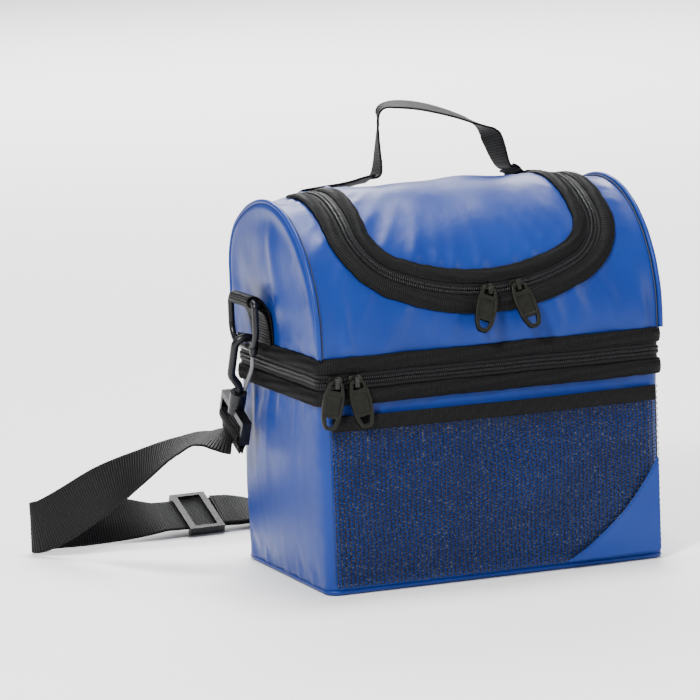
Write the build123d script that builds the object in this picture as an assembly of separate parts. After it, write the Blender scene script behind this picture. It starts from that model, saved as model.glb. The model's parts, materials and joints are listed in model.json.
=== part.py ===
"""Insulated cooler bag: a box-shaped lower compartment, a barrel-topped upper one that
tips back on a rear hinge, and a U-shaped lid in the barrel.  Millimetres, +Z up, the front
faces -Y, and the origin is the centre of the base."""
from build123d import *
import math
import os

# ---------------------------------------------------------------- driving sizes
WIDTH = 260.0
DEPTH = 170.0
FRONT_R = 9.0            # plan radius of the front corners
REAR_R = 16.0            # plan radius of the rear corners

SKIN = 1.0
FOAM = 5.0
LINER = 0.6
WALL = SKIN + FOAM + LINER

PART_Z = 151.0           # meeting line of the main zipper
BAND_HALF = 17.0         # half height of the black band
BAND_LOW = PART_Z - BAND_HALF
BAND_TOP = PART_Z + BAND_HALF
TAPE_THICK = 2.2
ZIP_HALF = 5.8           # height of one half of the zipper
COIL_PROUD = 2.8
COIL_WIDTH = 2.4
MEET_GAP = 0.1           # each half of the zipper stops this far from the meeting line
MOUTH_GAP = 1.0          # and the padded walls stop this far from it
OPEN_BACK = WIDTH / 2 - REAR_R - 6.0

# Barrel section in Y and Z: a round front, a flatter rear and a tight rear shoulder.
CREST_Y = 5.0
FRONT_ARC_R = DEPTH / 2 + CREST_Y
FRONT_ARC_Z = BAND_TOP + 10.0
CREST_Z = FRONT_ARC_Z + FRONT_ARC_R
REAR_ARC_R = 110.0
REAR_ARC_Z = CREST_Z - REAR_ARC_R
SHOULDER_R = 42.0
SHOULDER_Y = DEPTH / 2 - SHOULDER_R
SHOULDER_Z = REAR_ARC_Z + math.sqrt((REAR_ARC_R - SHOULDER_R) ** 2 - (SHOULDER_Y - CREST_Y) ** 2)
SHOULDER_ANGLE = math.degrees(math.atan2(SHOULDER_Z - REAR_ARC_Z, SHOULDER_Y - CREST_Y))

# Lid zipper: a U drawn on the unrolled barrel, X across and S up from the band.
U_HALF = 94.5
U_BOTTOM_S = 37.0
U_BOTTOM_R = 164.0
U_CORNER_R = 44.0
LID_HINGE_Y = 22.0
LID_TAPE = 11.0          # width of the binding tape on each side
LID_ZIP = 4.9            # width of one half of the lid zipper
LID_CUT = 45.0           # direction in which the lid is cut out of the barrel, above level
STRIP_LIFT = 0.4         # the strips are made of flat facets and stand this far off the barrel
ZIP_TAPE = 0.8
ZIP_MEET = 0.2           # each half of the lid zipper stops this far from the U
SKIN_CLEAR = 0.6         # the fabric is cut this far clear of the zipper's tape
FOAM_CUT = 4.0           # the foam and liner are cut back this far from the U

HANDLE_Y = 40.0
HANDLE_WIDTH = 25.0
HANDLE_LEAN = 8.0
WEB_THICK = 1.7

STRAP_WIDTH = 38.0
SIDE_Y = 20.0            # the side rings hang here
RING_X = WIDTH / 2 + 17.0
RING_TOP_Z = 199.0
RING_LOW_Z = 166.0
RING_WIDE = 50.0
RING_BAR_R = 2.3
HOOK_LEAN = 25.0

PULL_LONG = 34.0
PULL_WIDE = 15.0
PULL_THICK = 2.0
PULL_SPREAD = 9.0        # each pull hangs this far off square to its zipper
PULL_LEAN = 8.0          # and this far off the bag
RUNNING = 0.08           # radial clearance of a loose fit
GAP = 0.3

PARTS = "parts"


# ---------------------------------------------------------------- plan outline and barrel section
def outline(grow=0.0):
    """Plan of the bag, grown by an offset."""
    plan = Rectangle(WIDTH + 2 * grow, DEPTH + 2 * grow)
    front = plan.vertices().group_by(Axis.Y)[0]
    plan = fillet(front, FRONT_R + grow)
    rear = plan.vertices().sort_by(Axis.Y)[-2:]
    return fillet(rear, REAR_R + grow)


def block(grow, low, high):
    """Solid prism of the plan outline between two heights."""
    return Pos(0, 0, low) * extrude(outline(grow), high - low)


def wall(outer, inner, low, high):
    """Upright wall between two offsets of the plan outline."""
    return Pos(0, 0, low) * extrude(outline(outer) - outline(inner), high - low)


def slab(low, high):
    """Box between two corners."""
    size = [b - a for a, b in zip(low, high)]
    middle = [(a + b) / 2 for a, b in zip(low, high)]
    return Pos(*middle) * Box(*size)


FRONT_ZONE = slab((-WIDTH, -DEPTH, -10), (WIDTH, -DEPTH / 2 + FRONT_R, 400))
BACK_ZONE = slab((-OPEN_BACK, DEPTH / 2 - REAR_R / 2, -10), (OPEN_BACK, DEPTH, 400))


def three_sided(inner, outer, low, high):
    """Strip round the front and sides, open along the back hinge."""
    return wall(outer, inner, low, high) - BACK_ZONE


def dome_face(grow=0.0, foot=BAND_TOP):
    """Barrel section grown by an offset, on the YZ plane."""
    front = -DEPTH / 2 - grow
    back = DEPTH / 2 + grow
    edges = [
        Line((front, foot), (front, FRONT_ARC_Z)),
        CenterArc((CREST_Y, FRONT_ARC_Z), FRONT_ARC_R + grow, 180, -90),
        CenterArc((CREST_Y, REAR_ARC_Z), REAR_ARC_R + grow, 90, SHOULDER_ANGLE - 90),
        CenterArc((SHOULDER_Y, SHOULDER_Z), SHOULDER_R + grow, SHOULDER_ANGLE, -SHOULDER_ANGLE),
        Line((back, SHOULDER_Z), (back, foot)),
        Line((back, foot), (front, foot)),
    ]
    return make_face(edges)


def barrel(grow, x_low, x_high, foot=BAND_TOP):
    """Solid barrel between two X positions."""
    return extrude(Plane.YZ.offset(x_low) * dome_face(grow, foot), x_high - x_low)


def dome_point(s, lift=0.0):
    """Y, Z and the angle of the normal at a distance s up the barrel from the band."""
    rise = FRONT_ARC_Z - BAND_TOP
    quarter = FRONT_ARC_R * math.pi / 2
    if s <= rise:
        return -DEPTH / 2 - lift, BAND_TOP + s, math.pi
    if s <= rise + quarter:
        angle = math.pi - (s - rise) / FRONT_ARC_R
        reach, centre_z = FRONT_ARC_R + lift, FRONT_ARC_Z
    else:
        angle = math.pi / 2 - (s - rise - quarter) / REAR_ARC_R
        reach, centre_z = REAR_ARC_R + lift, REAR_ARC_Z
    return CREST_Y + reach * math.cos(angle), centre_z + reach * math.sin(angle), angle


def rear_s(y):
    """Distance up the barrel to a line across it behind the crest."""
    over = math.asin((y - CREST_Y) / REAR_ARC_R)
    return FRONT_ARC_Z - BAND_TOP + FRONT_ARC_R * math.pi / 2 + REAR_ARC_R * over


# ---------------------------------------------------------------- the U on the barrel
U_CENTRE_S = U_BOTTOM_S + U_BOTTOM_R
U_CORNER_X = U_HALF - U_CORNER_R
U_CORNER_S = U_CENTRE_S - math.sqrt((U_BOTTOM_R - U_CORNER_R) ** 2 - U_CORNER_X ** 2)
U_TURN = math.asin(U_CORNER_X / (U_BOTTOM_R - U_CORNER_R))
LID_HINGE_S = rear_s(LID_HINGE_Y)


def u_half(offset):
    """Right half of the U from the bottom to the hinge, moved outward by an offset."""
    points = []
    for step in range(9):
        angle = U_TURN * step / 8
        radius = U_BOTTOM_R + offset
        points.append((radius * math.sin(angle), U_CENTRE_S - radius * math.cos(angle)))
    for step in range(1, 9):
        angle = U_TURN + (math.pi / 2 - U_TURN) * step / 8
        radius = U_CORNER_R + offset
        points.append((U_CORNER_X + radius * math.sin(angle), U_CORNER_S - radius * math.cos(angle)))
    for step in range(1, 9):
        points.append((U_HALF + offset, U_CORNER_S + (LID_HINGE_S - GAP - U_CORNER_S) * step / 8))
    return points


def u_path(offset):
    """The whole U, from the left end of the hinge to the right."""
    right = u_half(offset)
    left = [(-x, s) for x, s in reversed(right[1:])]
    return left + right


def u_strip(profile):
    """Strip that follows the U on the barrel; its section is a list of offsets and lifts."""
    paths = [u_path(offset) for offset, _ in profile]
    sections = []
    for spots in zip(*paths):
        corners = []
        for (x, s), (_, lift) in zip(spots, profile):
            y, z, _ = dome_point(s, lift)
            corners.append(Vector(x, y, z))
        sections.append(Wire.make_polygon(corners, close=True))
    return Solid.make_loft(sections, ruled=True)


def flat_tape(inner, outer):
    """Section of a binding tape between two offsets."""
    return [(inner, STRIP_LIFT), (outer, STRIP_LIFT), (outer, TAPE_THICK), (inner, TAPE_THICK)]


def zipper_half(side):
    """Section of a tape with its coil along the meeting line, on one side of it."""
    low, mid, high = STRIP_LIFT, STRIP_LIFT + ZIP_TAPE, COIL_PROUD
    section = [
        (ZIP_MEET, low), (LID_ZIP, low), (LID_ZIP, mid),
        (COIL_WIDTH, mid), (COIL_WIDTH, high), (ZIP_MEET, high),
    ]
    return [(side * offset, lift) for offset, lift in section]


CUT_DIR = Vector(0, -math.cos(math.radians(LID_CUT)), math.sin(math.radians(LID_CUT)))
CUT_START = 167.0        # inside the upper compartment, above its floor
CUT_DEEP = 80.0
CUT_PLANE = Plane(origin=CUT_DIR * CUT_START, x_dir=(1, 0, 0), z_dir=CUT_DIR)


def u_cutter(offset):
    """Prism that cuts the lid out of the barrel, along one direction."""
    flat = []
    for x, s in u_path(offset):
        y, z, _ = dome_point(s)
        local = CUT_PLANE.to_local_coords(Vector(x, y, z))
        flat.append((local.X, local.Y))
    return extrude(CUT_PLANE * make_face(Polyline(*flat, close=True)), CUT_DEEP)


# ---------------------------------------------------------------- lower compartment
BASE_SKIN = 1.2
FLOOR_TOP = BASE_SKIN + 6.0   # top of the base foam
SKIN_TOP = PART_Z - MOUTH_GAP


def lower_walls():
    skin = wall(0, -SKIN, BASE_SKIN, SKIN_TOP)
    foam = wall(-SKIN, -SKIN - FOAM, FLOOR_TOP, SKIN_TOP)
    tub = block(-SKIN - FOAM, FLOOR_TOP, SKIN_TOP) - block(-WALL, FLOOR_TOP + LINER, SKIN_TOP + 1)
    return {
        "base_panel": block(0, 0, BASE_SKIN),
        "base_foam": block(-SKIN, BASE_SKIN, FLOOR_TOP),
        "lower_front_panel": skin & FRONT_ZONE,
        "lower_side_and_back_panel": skin - FRONT_ZONE,
        "lower_front_foam": foam & FRONT_ZONE,
        "lower_side_and_back_foam": foam - FRONT_ZONE,
        "lower_liner": tub,
    }


def main_zipper():
    """Binding tapes and the two halves of the main zipper, round three sides."""
    low_zip = PART_Z - ZIP_HALF
    low_edge = PART_Z - MEET_GAP
    low_half = three_sided(0, SKIN, low_zip, low_edge)
    low_half += three_sided(SKIN, COIL_PROUD, low_edge - COIL_WIDTH, low_edge)
    high_zip = PART_Z + ZIP_HALF
    high_edge = PART_Z + MEET_GAP
    high_half = three_sided(0, SKIN, high_edge, high_zip)
    high_half += three_sided(SKIN, COIL_PROUD, high_edge, high_edge + COIL_WIDTH)
    strip_half = OPEN_BACK - GAP
    return {
        "lower_binding_tape": three_sided(0, TAPE_THICK, BAND_LOW, low_zip),
        "main_zipper_lower_half": low_half,
        "main_zipper_upper_half": high_half,
        "upper_binding_tape": three_sided(0, TAPE_THICK, high_zip, BAND_TOP),
        "rear_hinge_strip": slab(
            (-strip_half, DEPTH / 2, BAND_LOW), (strip_half, DEPTH / 2 + SKIN, low_edge)
        ),
    }


# ---------------------------------------------------------------- mesh pocket
POCKET_HALF = WIDTH / 2 - 6.0
POCKET_LOW = 6.0
POCKET_TOP = 127.0
POCKET_BULGE = 4.8
POCKET_R = (POCKET_HALF ** 2 + POCKET_BULGE ** 2) / (2 * POCKET_BULGE)
POCKET_BINDING = 11.0
POCKET_OFF = 0.2         # gap between the front panel and the pocket's side edges
POCKET_CENTRE_Y = -DEPTH / 2 - POCKET_OFF - POCKET_BULGE + POCKET_R
MESH_THICK = 0.8
BINDING_THICK = 1.0
PATCH_THICK = 0.8
HEM_HIGH = 1.0
NET_CORNER_CENTRE = (-16.0, 152.0)   # X and Z that the net's rounded corner is struck from
NET_CORNER_R = 160.0
PATCH_HIGH = 80.0        # the panel's top corner stays below this
POCKET_REACH = 20.0


def pocket_plan(radius):
    """Part of a disc about the pocket's centre that lies in front of the front panel."""
    window = Rectangle(2 * POCKET_HALF, 2 * POCKET_REACH)
    window = Pos(0, -DEPTH / 2 - POCKET_OFF - POCKET_REACH) * window
    return Pos(0, POCKET_CENTRE_Y) * Circle(radius) & window


def pocket_shell(inner, thick, low, high):
    """Bowed sheet in front of the front panel, starting a distance outside its mean curve."""
    plan = pocket_plan(POCKET_R + inner + thick) - pocket_plan(POCKET_R + inner)
    return Pos(0, 0, low) * extrude(plan, high - low)


def mesh_pocket():
    # The hem along the bottom closes the pocket against the front panel.
    hem = Pos(0, 0, POCKET_LOW) * extrude(pocket_plan(POCKET_R), HEM_HIGH)
    corner = Pos(WIDTH / 4, PATCH_HIGH / 2) * Rectangle(WIDTH / 2, PATCH_HIGH)
    corner -= Pos(*NET_CORNER_CENTRE) * Circle(NET_CORNER_R)
    patch_zone = extrude(Plane.XZ.offset(DEPTH / 2) * corner, POCKET_REACH)
    binding_low = POCKET_TOP - POCKET_BINDING
    patch = pocket_shell(MESH_THICK, PATCH_THICK, POCKET_LOW, binding_low - 1)
    return {
        "mesh_pocket": pocket_shell(0, MESH_THICK, POCKET_LOW, POCKET_TOP) + hem,
        "pocket_binding": pocket_shell(MESH_THICK, BINDING_THICK, binding_low, POCKET_TOP),
        "pocket_corner_panel": patch & patch_zone,
    }


# ---------------------------------------------------------------- upper compartment
def upper_walls():
    end = WIDTH / 2
    foam_end = end - SKIN - FOAM
    skin = barrel(0, -end, end) - barrel(-SKIN, -end, end, BAND_TOP - 1)
    foam = barrel(-SKIN, -foam_end, foam_end) - barrel(-SKIN - FOAM, -end, end, BAND_TOP - 1)
    liner = barrel(-SKIN - FOAM, -foam_end, foam_end)
    liner -= barrel(-WALL, LINER - foam_end, foam_end - LINER, BAND_TOP + LINER)
    opening = u_cutter(LID_ZIP + SKIN_CLEAR)
    nodes = {
        "divider_floor": block(-SKIN, PART_Z + MOUTH_GAP, BAND_TOP),
        "upper_skirt": wall(0, -SKIN, PART_Z + MOUTH_GAP, BAND_TOP),
        "upper_wrap": skin - opening,
        "upper_foam": foam - u_cutter(FOAM_CUT),
        "upper_liner": liner - u_cutter(FOAM_CUT),
        "lid_panel": skin & u_cutter(-LID_ZIP - SKIN_CLEAR),
        "lid_foam": foam & u_cutter(-FOAM_CUT),
        "lid_liner": liner & u_cutter(-FOAM_CUT),
    }
    for side, name in ((-1, "left"), (1, "right")):
        outer, mid, inner = side * end, side * (end - SKIN), side * foam_end
        nodes[name + "_end_panel"] = barrel(-SKIN, min(outer, mid), max(outer, mid))
        nodes[name + "_end_foam"] = barrel(-SKIN, min(mid, inner), max(mid, inner))
        nodes[name + "_piping"] = piping(side)
    return nodes


PIPING_R = 1.7
PIPING_OUT = 1.6


def piping(side):
    """Round piping along the edge between the barrel and an end panel."""
    grow = PIPING_OUT
    front = -DEPTH / 2 - grow
    back = DEPTH / 2 + grow
    foot = BAND_TOP + 0.4
    path = Wire([
        Line((front, foot), (front, FRONT_ARC_Z)).edge(),
        CenterArc((CREST_Y, FRONT_ARC_Z), FRONT_ARC_R + grow, 180, -90).edge(),
        CenterArc((CREST_Y, REAR_ARC_Z), REAR_ARC_R + grow, 90, SHOULDER_ANGLE - 90).edge(),
        CenterArc((SHOULDER_Y, SHOULDER_Z), SHOULDER_R + grow, SHOULDER_ANGLE, -SHOULDER_ANGLE).edge(),
        Line((back, SHOULDER_Z), (back, foot)).edge(),
    ])
    plane = Plane.YZ.offset(side * (WIDTH / 2 + PIPING_OUT))
    path = plane * path
    start = Plane(origin=path @ 0, z_dir=path % 0)
    return sweep(start * Circle(PIPING_R), path)


def lid_zipper():
    near = LID_ZIP + 0.1
    far = LID_ZIP + LID_TAPE
    return {
        "opening_binding_tape": u_strip(flat_tape(near, far)),
        "lid_zipper_body_half": u_strip(zipper_half(1)),
        "lid_zipper_lid_half": u_strip(zipper_half(-1)),
        "lid_binding_tape": u_strip(flat_tape(-far, -near)),
    }


# ---------------------------------------------------------------- carry handle
# X and height of the webbing's middle line above the barrel.  The loop swings about the
# line where its level ends meet the sewn feet.
HANDLE_PIVOT = 12.5
LOOP_ROUTE = [(-36.7, HANDLE_PIVOT), (-32.5, HANDLE_PIVOT), (-30.5, 28), (-28, 52), (-20, 63), (4, 62),
              (30, 56), (55, 45), (63, 30), (66, HANDLE_PIVOT), (70.7, HANDLE_PIVOT)]
LEFT_FOOT_ROUTE = [(-37, HANDLE_PIVOT), (-42, HANDLE_PIVOT), (-64, 4), (-80, 1.9)]
RIGHT_FOOT_ROUTE = [(71, HANDLE_PIVOT), (74, HANDLE_PIVOT), (79, 3.5), (83, 1.9)]
ANCHOR_IN = 78.0
ANCHOR_OUT = 92.0
ANCHOR_LIFT = 1.0        # the patch is flat and the barrel bows under it, so it sits a little higher


def handle_strip(frame, route):
    """Webbing that follows a route of X and height, as wide as the handle."""
    shorter = [min(math.dist(a, b), math.dist(b, c)) for a, b, c in zip(route, route[1:], route[2:])]
    line = FilletPolyline(*route, radius=[0.4 * run for run in shorter])
    return extrude(frame * trace(line, WEB_THICK), HANDLE_WIDTH / 2, both=True)


def handle():
    s = rear_s(HANDLE_Y)
    y, z, angle = dome_point(s, 1.0)
    lean = math.radians(HANDLE_LEAN)
    frame = Plane(origin=(0, y, z), x_dir=(1, 0, 0), z_dir=(0, -math.cos(lean), math.sin(lean)))
    anchors = []
    for side, route in ((-1, LEFT_FOOT_ROUTE), (1, RIGHT_FOOT_ROUTE)):
        middle = side * (ANCHOR_IN + ANCHOR_OUT) / 2
        ay, az, _ = dome_point(s, WEB_THICK / 2)
        patch = Box(ANCHOR_OUT - ANCHOR_IN, HANDLE_WIDTH, WEB_THICK)
        patch = Pos(middle, ay, az + ANCHOR_LIFT) * Rot(math.degrees(angle) - 90, 0, 0) * patch
        anchors.append(patch + handle_strip(frame, route))
    return {"carry_handle": handle_strip(frame, LOOP_ROUTE), "handle_anchors": Compound(anchors)}


# ---------------------------------------------------------------- sliders and pulls
SLIDER_LONG = 10.0
SLIDER_WIDE = 8.5
PLATE_LOW = 0.3
PLATE_TOP = 1.2
PIVOT_UP = 3.0           # height of the pull's bar above the coil
BAR_R = 0.9
ARCH_HALF = 3.7
ARCH_WIDE = 3.0
ARCH_TOP = 5.5
PULL_STUB = 1.3          # the pull reaches this far past its bar and clears the slider as it turns


def slider():
    """Slider on local X, across local Y, outward local Z, above the coil."""
    plate = RectangleRounded(SLIDER_LONG, SLIDER_WIDE, 2.5)
    body = Pos(0, 0, PLATE_LOW) * extrude(plate, PLATE_TOP - PLATE_LOW)
    arch = slab((-ARCH_WIDE / 2, -ARCH_HALF, PLATE_TOP), (ARCH_WIDE / 2, ARCH_HALF, ARCH_TOP))
    window = BAR_R + 0.25
    arch -= slab((-ARCH_WIDE, -window - 0.5, PLATE_TOP), (ARCH_WIDE, window + 0.5, PIVOT_UP + window))
    return body + arch


def pull():
    """Pull with its bar at the local origin, hanging along -Y, with its faces across Z."""
    half = PULL_WIDE / 2
    top = PULL_STUB
    low = top - PULL_LONG
    outer = make_face([
        Line((-half * 0.55, top), (half * 0.55, top)),
        ThreePointArc((half * 0.55, top), (half * 0.92, -9), (half * 0.8, low + 8)),
        ThreePointArc((half * 0.8, low + 8), (half * 0.45, low + 1.6), (0, low)),
        ThreePointArc((0, low), (-half * 0.45, low + 1.6), (-half * 0.8, low + 8)),
        ThreePointArc((-half * 0.8, low + 8), (-half * 0.92, -9), (-half * 0.55, top)),
    ])
    slot = Pos(0, -BAR_R - 2.3) * RectangleRounded(7.2, 4.6, 1.2)
    finger = make_face(Polyline((-3.6, low + 8.6), (3.6, low + 8.6), (1.9, low + 3.6), (-1.9, low + 3.6),
                                close=True))
    plate = Pos(0, 0, -PULL_THICK / 2) * extrude(outer - slot - finger, PULL_THICK)
    # The bar that the slider's arch closes over is thinner than the plate.
    relief = slab((-3.6, -BAR_R - 0.1, -PULL_THICK), (3.6, top + 1, PULL_THICK))
    bar = Rot(0, 90, 0) * Cylinder(BAR_R, 7.4)
    return (plate - relief) + bar


def along(origin, travel, outward, spin=0.0):
    """Plane on a zipper: X along it and Z outward, turned about the outward direction."""
    return Plane(origin=origin, x_dir=travel, z_dir=outward).rotated((0, 0, spin))


def hung(plane, spread):
    """Place of a pull on its slider's plane."""
    return plane.location * Pos(0, 0, PIVOT_UP) * Rot(0, 0, spread) * Rot(-PULL_LEAN, 0, 0)


MAIN_LEFT_X = -WIDTH / 2 + FRONT_R
MAIN_RIGHT_X = MAIN_LEFT_X + 15.0
LID_LEFT_TURN = math.degrees(1.5 / U_BOTTOM_R)
LID_RIGHT_TURN = math.degrees(20.5 / U_BOTTOM_R)


def lid_station(turn):
    """Plane on the bottom arc of the U, turned from the middle by an angle in degrees."""
    y, z, angle = dome_point(U_BOTTOM_S, COIL_PROUD)
    outward = Vector(0, math.cos(angle), math.sin(angle))
    up = Vector(0, math.sin(angle), -math.cos(angle))
    centre = Vector(0, y, z) + up * U_BOTTOM_R
    turn = math.radians(turn)
    travel = Vector(math.cos(turn), 0, 0) + up * math.sin(turn)
    spot = centre + Vector(math.sin(turn), 0, 0) * U_BOTTOM_R - up * (U_BOTTOM_R * math.cos(turn))
    return Plane(origin=spot, x_dir=travel, z_dir=outward)


def sliders_and_pulls():
    coil_y = -DEPTH / 2 - COIL_PROUD
    places = {
        "main_left": (along((MAIN_LEFT_X, coil_y, PART_Z), (1, 0, 0), (0, -1, 0)), -PULL_SPREAD),
        "main_right": (along((MAIN_RIGHT_X, coil_y, PART_Z), (1, 0, 0), (0, -1, 0)), PULL_SPREAD),
        "lid_left": (lid_station(-LID_LEFT_TURN), -PULL_SPREAD),
        "lid_right": (lid_station(LID_RIGHT_TURN), PULL_SPREAD),
    }
    nodes = {}
    for name, (plane, spread) in places.items():
        nodes[name + "_slider"] = plane.location * slider()
        nodes[name + "_pull"] = hung(plane, spread) * pull()
    return nodes


# ---------------------------------------------------------------- side rings and snap hooks
HOOK_R = 2.9
HOOK_BEND = 7.5
RING_IN_HOOK = 0.5       # the ring's bar sits this far above the middle of the hook's bend
COLLAR_TOP = -39.0
COLLAR_LOW = -48.0
NECK_R = 2.0
BASE_TOP = COLLAR_LOW - 0.3
BASE_LOW = -70.0
SLOT_TOP = -56.0
SLOT_LOW = -65.5
BASE_WIDE = STRAP_WIDTH + 8.0
BASE_THICK = 7.0
LOOP_LOW = -84.0


def ring_solid():
    """D-ring: a square top with a round bottom, hanging beside the bag."""
    half = RING_WIDE / 2
    top_r, low_r = 4.0, 15.0
    left, right = SIDE_Y - half, SIDE_Y + half
    high, low = RING_TOP_Z, RING_LOW_Z
    edges = [
        Line((left + top_r, high), (right - top_r, high)),
        CenterArc((right - top_r, high - top_r), top_r, 90, -90),
        Line((right, high - top_r), (right, low + low_r)),
        CenterArc((right - low_r, low + low_r), low_r, 0, -90),
        Line((right - low_r, low), (left + low_r, low)),
        CenterArc((left + low_r, low + low_r), low_r, 270, -90),
        Line((left, low + low_r), (left, high - top_r)),
        CenterArc((left + top_r, high - top_r), top_r, 180, -90),
    ]
    path = Plane.YZ.offset(-RING_X) * Wire([edge.edge() for edge in edges])
    start = Plane(origin=path @ 0, z_dir=path % 0)
    return sweep(start * Circle(RING_BAR_R), path)


TAB_R = 4.2              # outside of the webbing round the ring's bar
TAB_THICK = 3.2          # the tab is two layers where it lies on the end panel
TAB_FOOT = BAND_TOP + GAP


def tab_solid():
    """Webbing tab: flat on the end panel, then out to the ring's top bar and round it."""
    wall_x = -WIDTH / 2 - 0.1
    bar_x, bar_z = -RING_X, RING_TOP_Z
    leave_z = RING_TOP_Z - 12.0
    face = make_face(Polyline(
        (wall_x, TAB_FOOT), (wall_x, bar_z + 4.0), (bar_x, bar_z + TAB_R), (bar_x - TAB_R, bar_z),
        (bar_x, bar_z - TAB_R), (wall_x - 4.5, leave_z), (wall_x - TAB_THICK, TAB_FOOT), close=True))
    face += Pos(bar_x, bar_z) * Circle(TAB_R)
    face -= Pos(-RING_X, RING_TOP_Z) * Circle(RING_BAR_R + RUNNING)
    return extrude(Plane.XZ.offset(-SIDE_Y) * face, STRAP_WIDTH / 2, both=True)


def hook_place():
    """The hook hangs from the ring's bottom bar and leans to the rear."""
    return Pos(-RING_X, SIDE_Y, RING_LOW_Z) * Rot(HOOK_LEAN, 0, 0) * Pos(0, 0, -RING_IN_HOOK)


def hook_solid():
    """Hook, collar and the neck pin that the swivel turns on; X across, -Z along the hook."""
    bend = HOOK_BEND
    points = [(bend, -6), (bend, bend), (-bend, bend), (-bend, -24), (0, -34), (0, COLLAR_TOP - 1)]
    line = FilletPolyline(*points, radius=[bend - 0.05, bend - 0.05, 9, 7])
    path = Plane.XZ * line
    start = Plane(origin=path @ 0, z_dir=path % 0)
    rod = sweep(start * Circle(HOOK_R), path)
    tip = Pos(bend, 0, -6) * Sphere(HOOK_R)
    collar = Pos(0, 0, (COLLAR_TOP + COLLAR_LOW) / 2) * Cylinder(6.2, COLLAR_TOP - COLLAR_LOW)
    neck = Pos(0, 0, (COLLAR_LOW + SLOT_TOP) / 2) * Cylinder(NECK_R, COLLAR_LOW - SLOT_TOP + 2)
    head = Pos(0, 0, SLOT_TOP - 1.2) * Cylinder(3.4, 1.6)
    return rod + tip + collar + neck + head


GATE_PIVOT = (4.4, -37.0)


def gate_solid():
    """Sprung gate between the hook's tip and its collar, turning on its lower end."""
    x, z = GATE_PIVOT
    line = FilletPolyline((HOOK_BEND, -9.4), (HOOK_BEND + 0.8, -20), (x, z), radius=25)
    path = Plane.XZ * line
    start = Plane(origin=path @ 0, z_dir=path % 0)
    rod = sweep(start * Circle(1.5), path)
    return rod + Pos(x, 0, z) * Sphere(1.5)


def base_solid():
    """Swivel base: a hub bored for the neck pin, over a slot for the strap."""
    half = BASE_THICK / 2
    frame = slab((-half, -BASE_WIDE / 2, BASE_LOW), (half, BASE_WIDE / 2, BASE_TOP - 3.0))
    hub = Pos(0, 0, (BASE_TOP + SLOT_TOP) / 2) * Cylinder(6.0, BASE_TOP - SLOT_TOP)
    body = frame + hub
    body -= slab((-7, -STRAP_WIDTH / 2 - 1, SLOT_LOW), (7, STRAP_WIDTH / 2 + 1, SLOT_TOP))
    return body - Pos(0, 0, BASE_TOP) * Cylinder(NECK_R + RUNNING, 2 * (BASE_TOP - SLOT_TOP) + 2)


def loop_solid():
    """End of the strap, sewn round the base's bottom bar."""
    middle = (BASE_LOW + SLOT_LOW) / 2
    bar_high = SLOT_LOW - BASE_LOW
    outer = RectangleRounded(BASE_THICK + 2 * (WEB_THICK + 0.4), bar_high + 2 * (WEB_THICK + 0.4), 2.4)
    inner = RectangleRounded(BASE_THICK + 0.8, bar_high + 0.8, 0.5)
    around = Pos(0, middle) * (outer - inner)
    tail_top = BASE_LOW - 0.4 - WEB_THICK / 2
    tail = Pos(0, (tail_top + LOOP_LOW) / 2) * Rectangle(2 * WEB_THICK, tail_top - LOOP_LOW)
    return extrude(Plane.XZ * (around + tail), STRAP_WIDTH / 2, both=True)


def side_hardware():
    left = {
        "tab": tab_solid(),
        "ring": ring_solid(),
        "hook": hook_place() * hook_solid(),
        "gate": hook_place() * gate_solid(),
        "swivel_base": hook_place() * base_solid(),
        "strap_loop": hook_place() * loop_solid(),
    }
    nodes = {}
    for name, solid in left.items():
        nodes["left_" + name] = solid
        nodes["right_" + name] = mirror(solid, Plane.YZ)
    return nodes


# ---------------------------------------------------------------- shoulder strap
# Middle line of the strap from the left hook to the right one: X, Y, Z, then the direction of
# its width as a bearing from +X and a height above level, in degrees.
STRAP_ROUTE = [
    (-147, 56.4, 88, 90, 25), (-147, 61.4, 77.2, 90, 25), (-153, 72, 62, 80, 26), (-174, 88, 54, 66, 34),
    (-200, 110, 46, 55, 56), (-226, 136, 36, 50, 76), (-250, 158, 26, 90, 88), (-263, 170, 20.5, 90, 90),
    (-266, 178, 19.5, 90, 90), (-259, 183, 19.5, 90, 90), (-236, 184, 19.5, 90, 86), (-204, 190, 18, 90, 62),
    (-158, 194, 13.2, 90, 24), (-98, 196, 13.2, 90, 24), (-62, 192, 6, 90, 8), (-20, 182, 1.8, 90, 0),
    (26, 172, 1.8, 90, 0), (70, 172, 6, 90, 16), (112, 182, 17, 90, 60), (152, 188, 19.5, 90, 88),
    (188, 176, 19.5, 90, 90), (206, 148, 21, 90, 90), (198, 116, 30, 125, 78), (176, 90, 48, 114, 40),
    (153, 72, 62, 100, 26), (147, 61.4, 77.2, 90, 25), (147, 56.4, 88, 90, 25),
]
GLIDE_RUN = 12           # the tri-glide sits on the run that starts at this point of the route
STATION = 9.0            # distance between cross-sections


def bearing(turn, rise):
    """Unit vector at a bearing from +X and a height above level."""
    turn, rise = math.radians(turn), math.radians(rise)
    return Vector(math.cos(turn) * math.cos(rise), math.sin(turn) * math.cos(rise), math.sin(rise))


def route_radii(points):
    """Radius of each arc: as large as the two runs beside it allow."""
    radii = []
    for a, b, c in zip(points, points[1:], points[2:]):
        turn = (b - a).get_angle(c - b)
        shorter = min((b - a).length, (c - b).length)
        radii.append(0.45 * shorter / math.tan(math.radians(turn / 2)))
    return radii


def strap_line():
    points = [Vector(*row[:3]) for row in STRAP_ROUTE]
    radii = route_radii(points)
    line = FilletPolyline(*points, radius=radii)
    print("strap radii", [round(radius, 1) for radius in radii], "length", round(line.length, 1))
    return line


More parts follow.
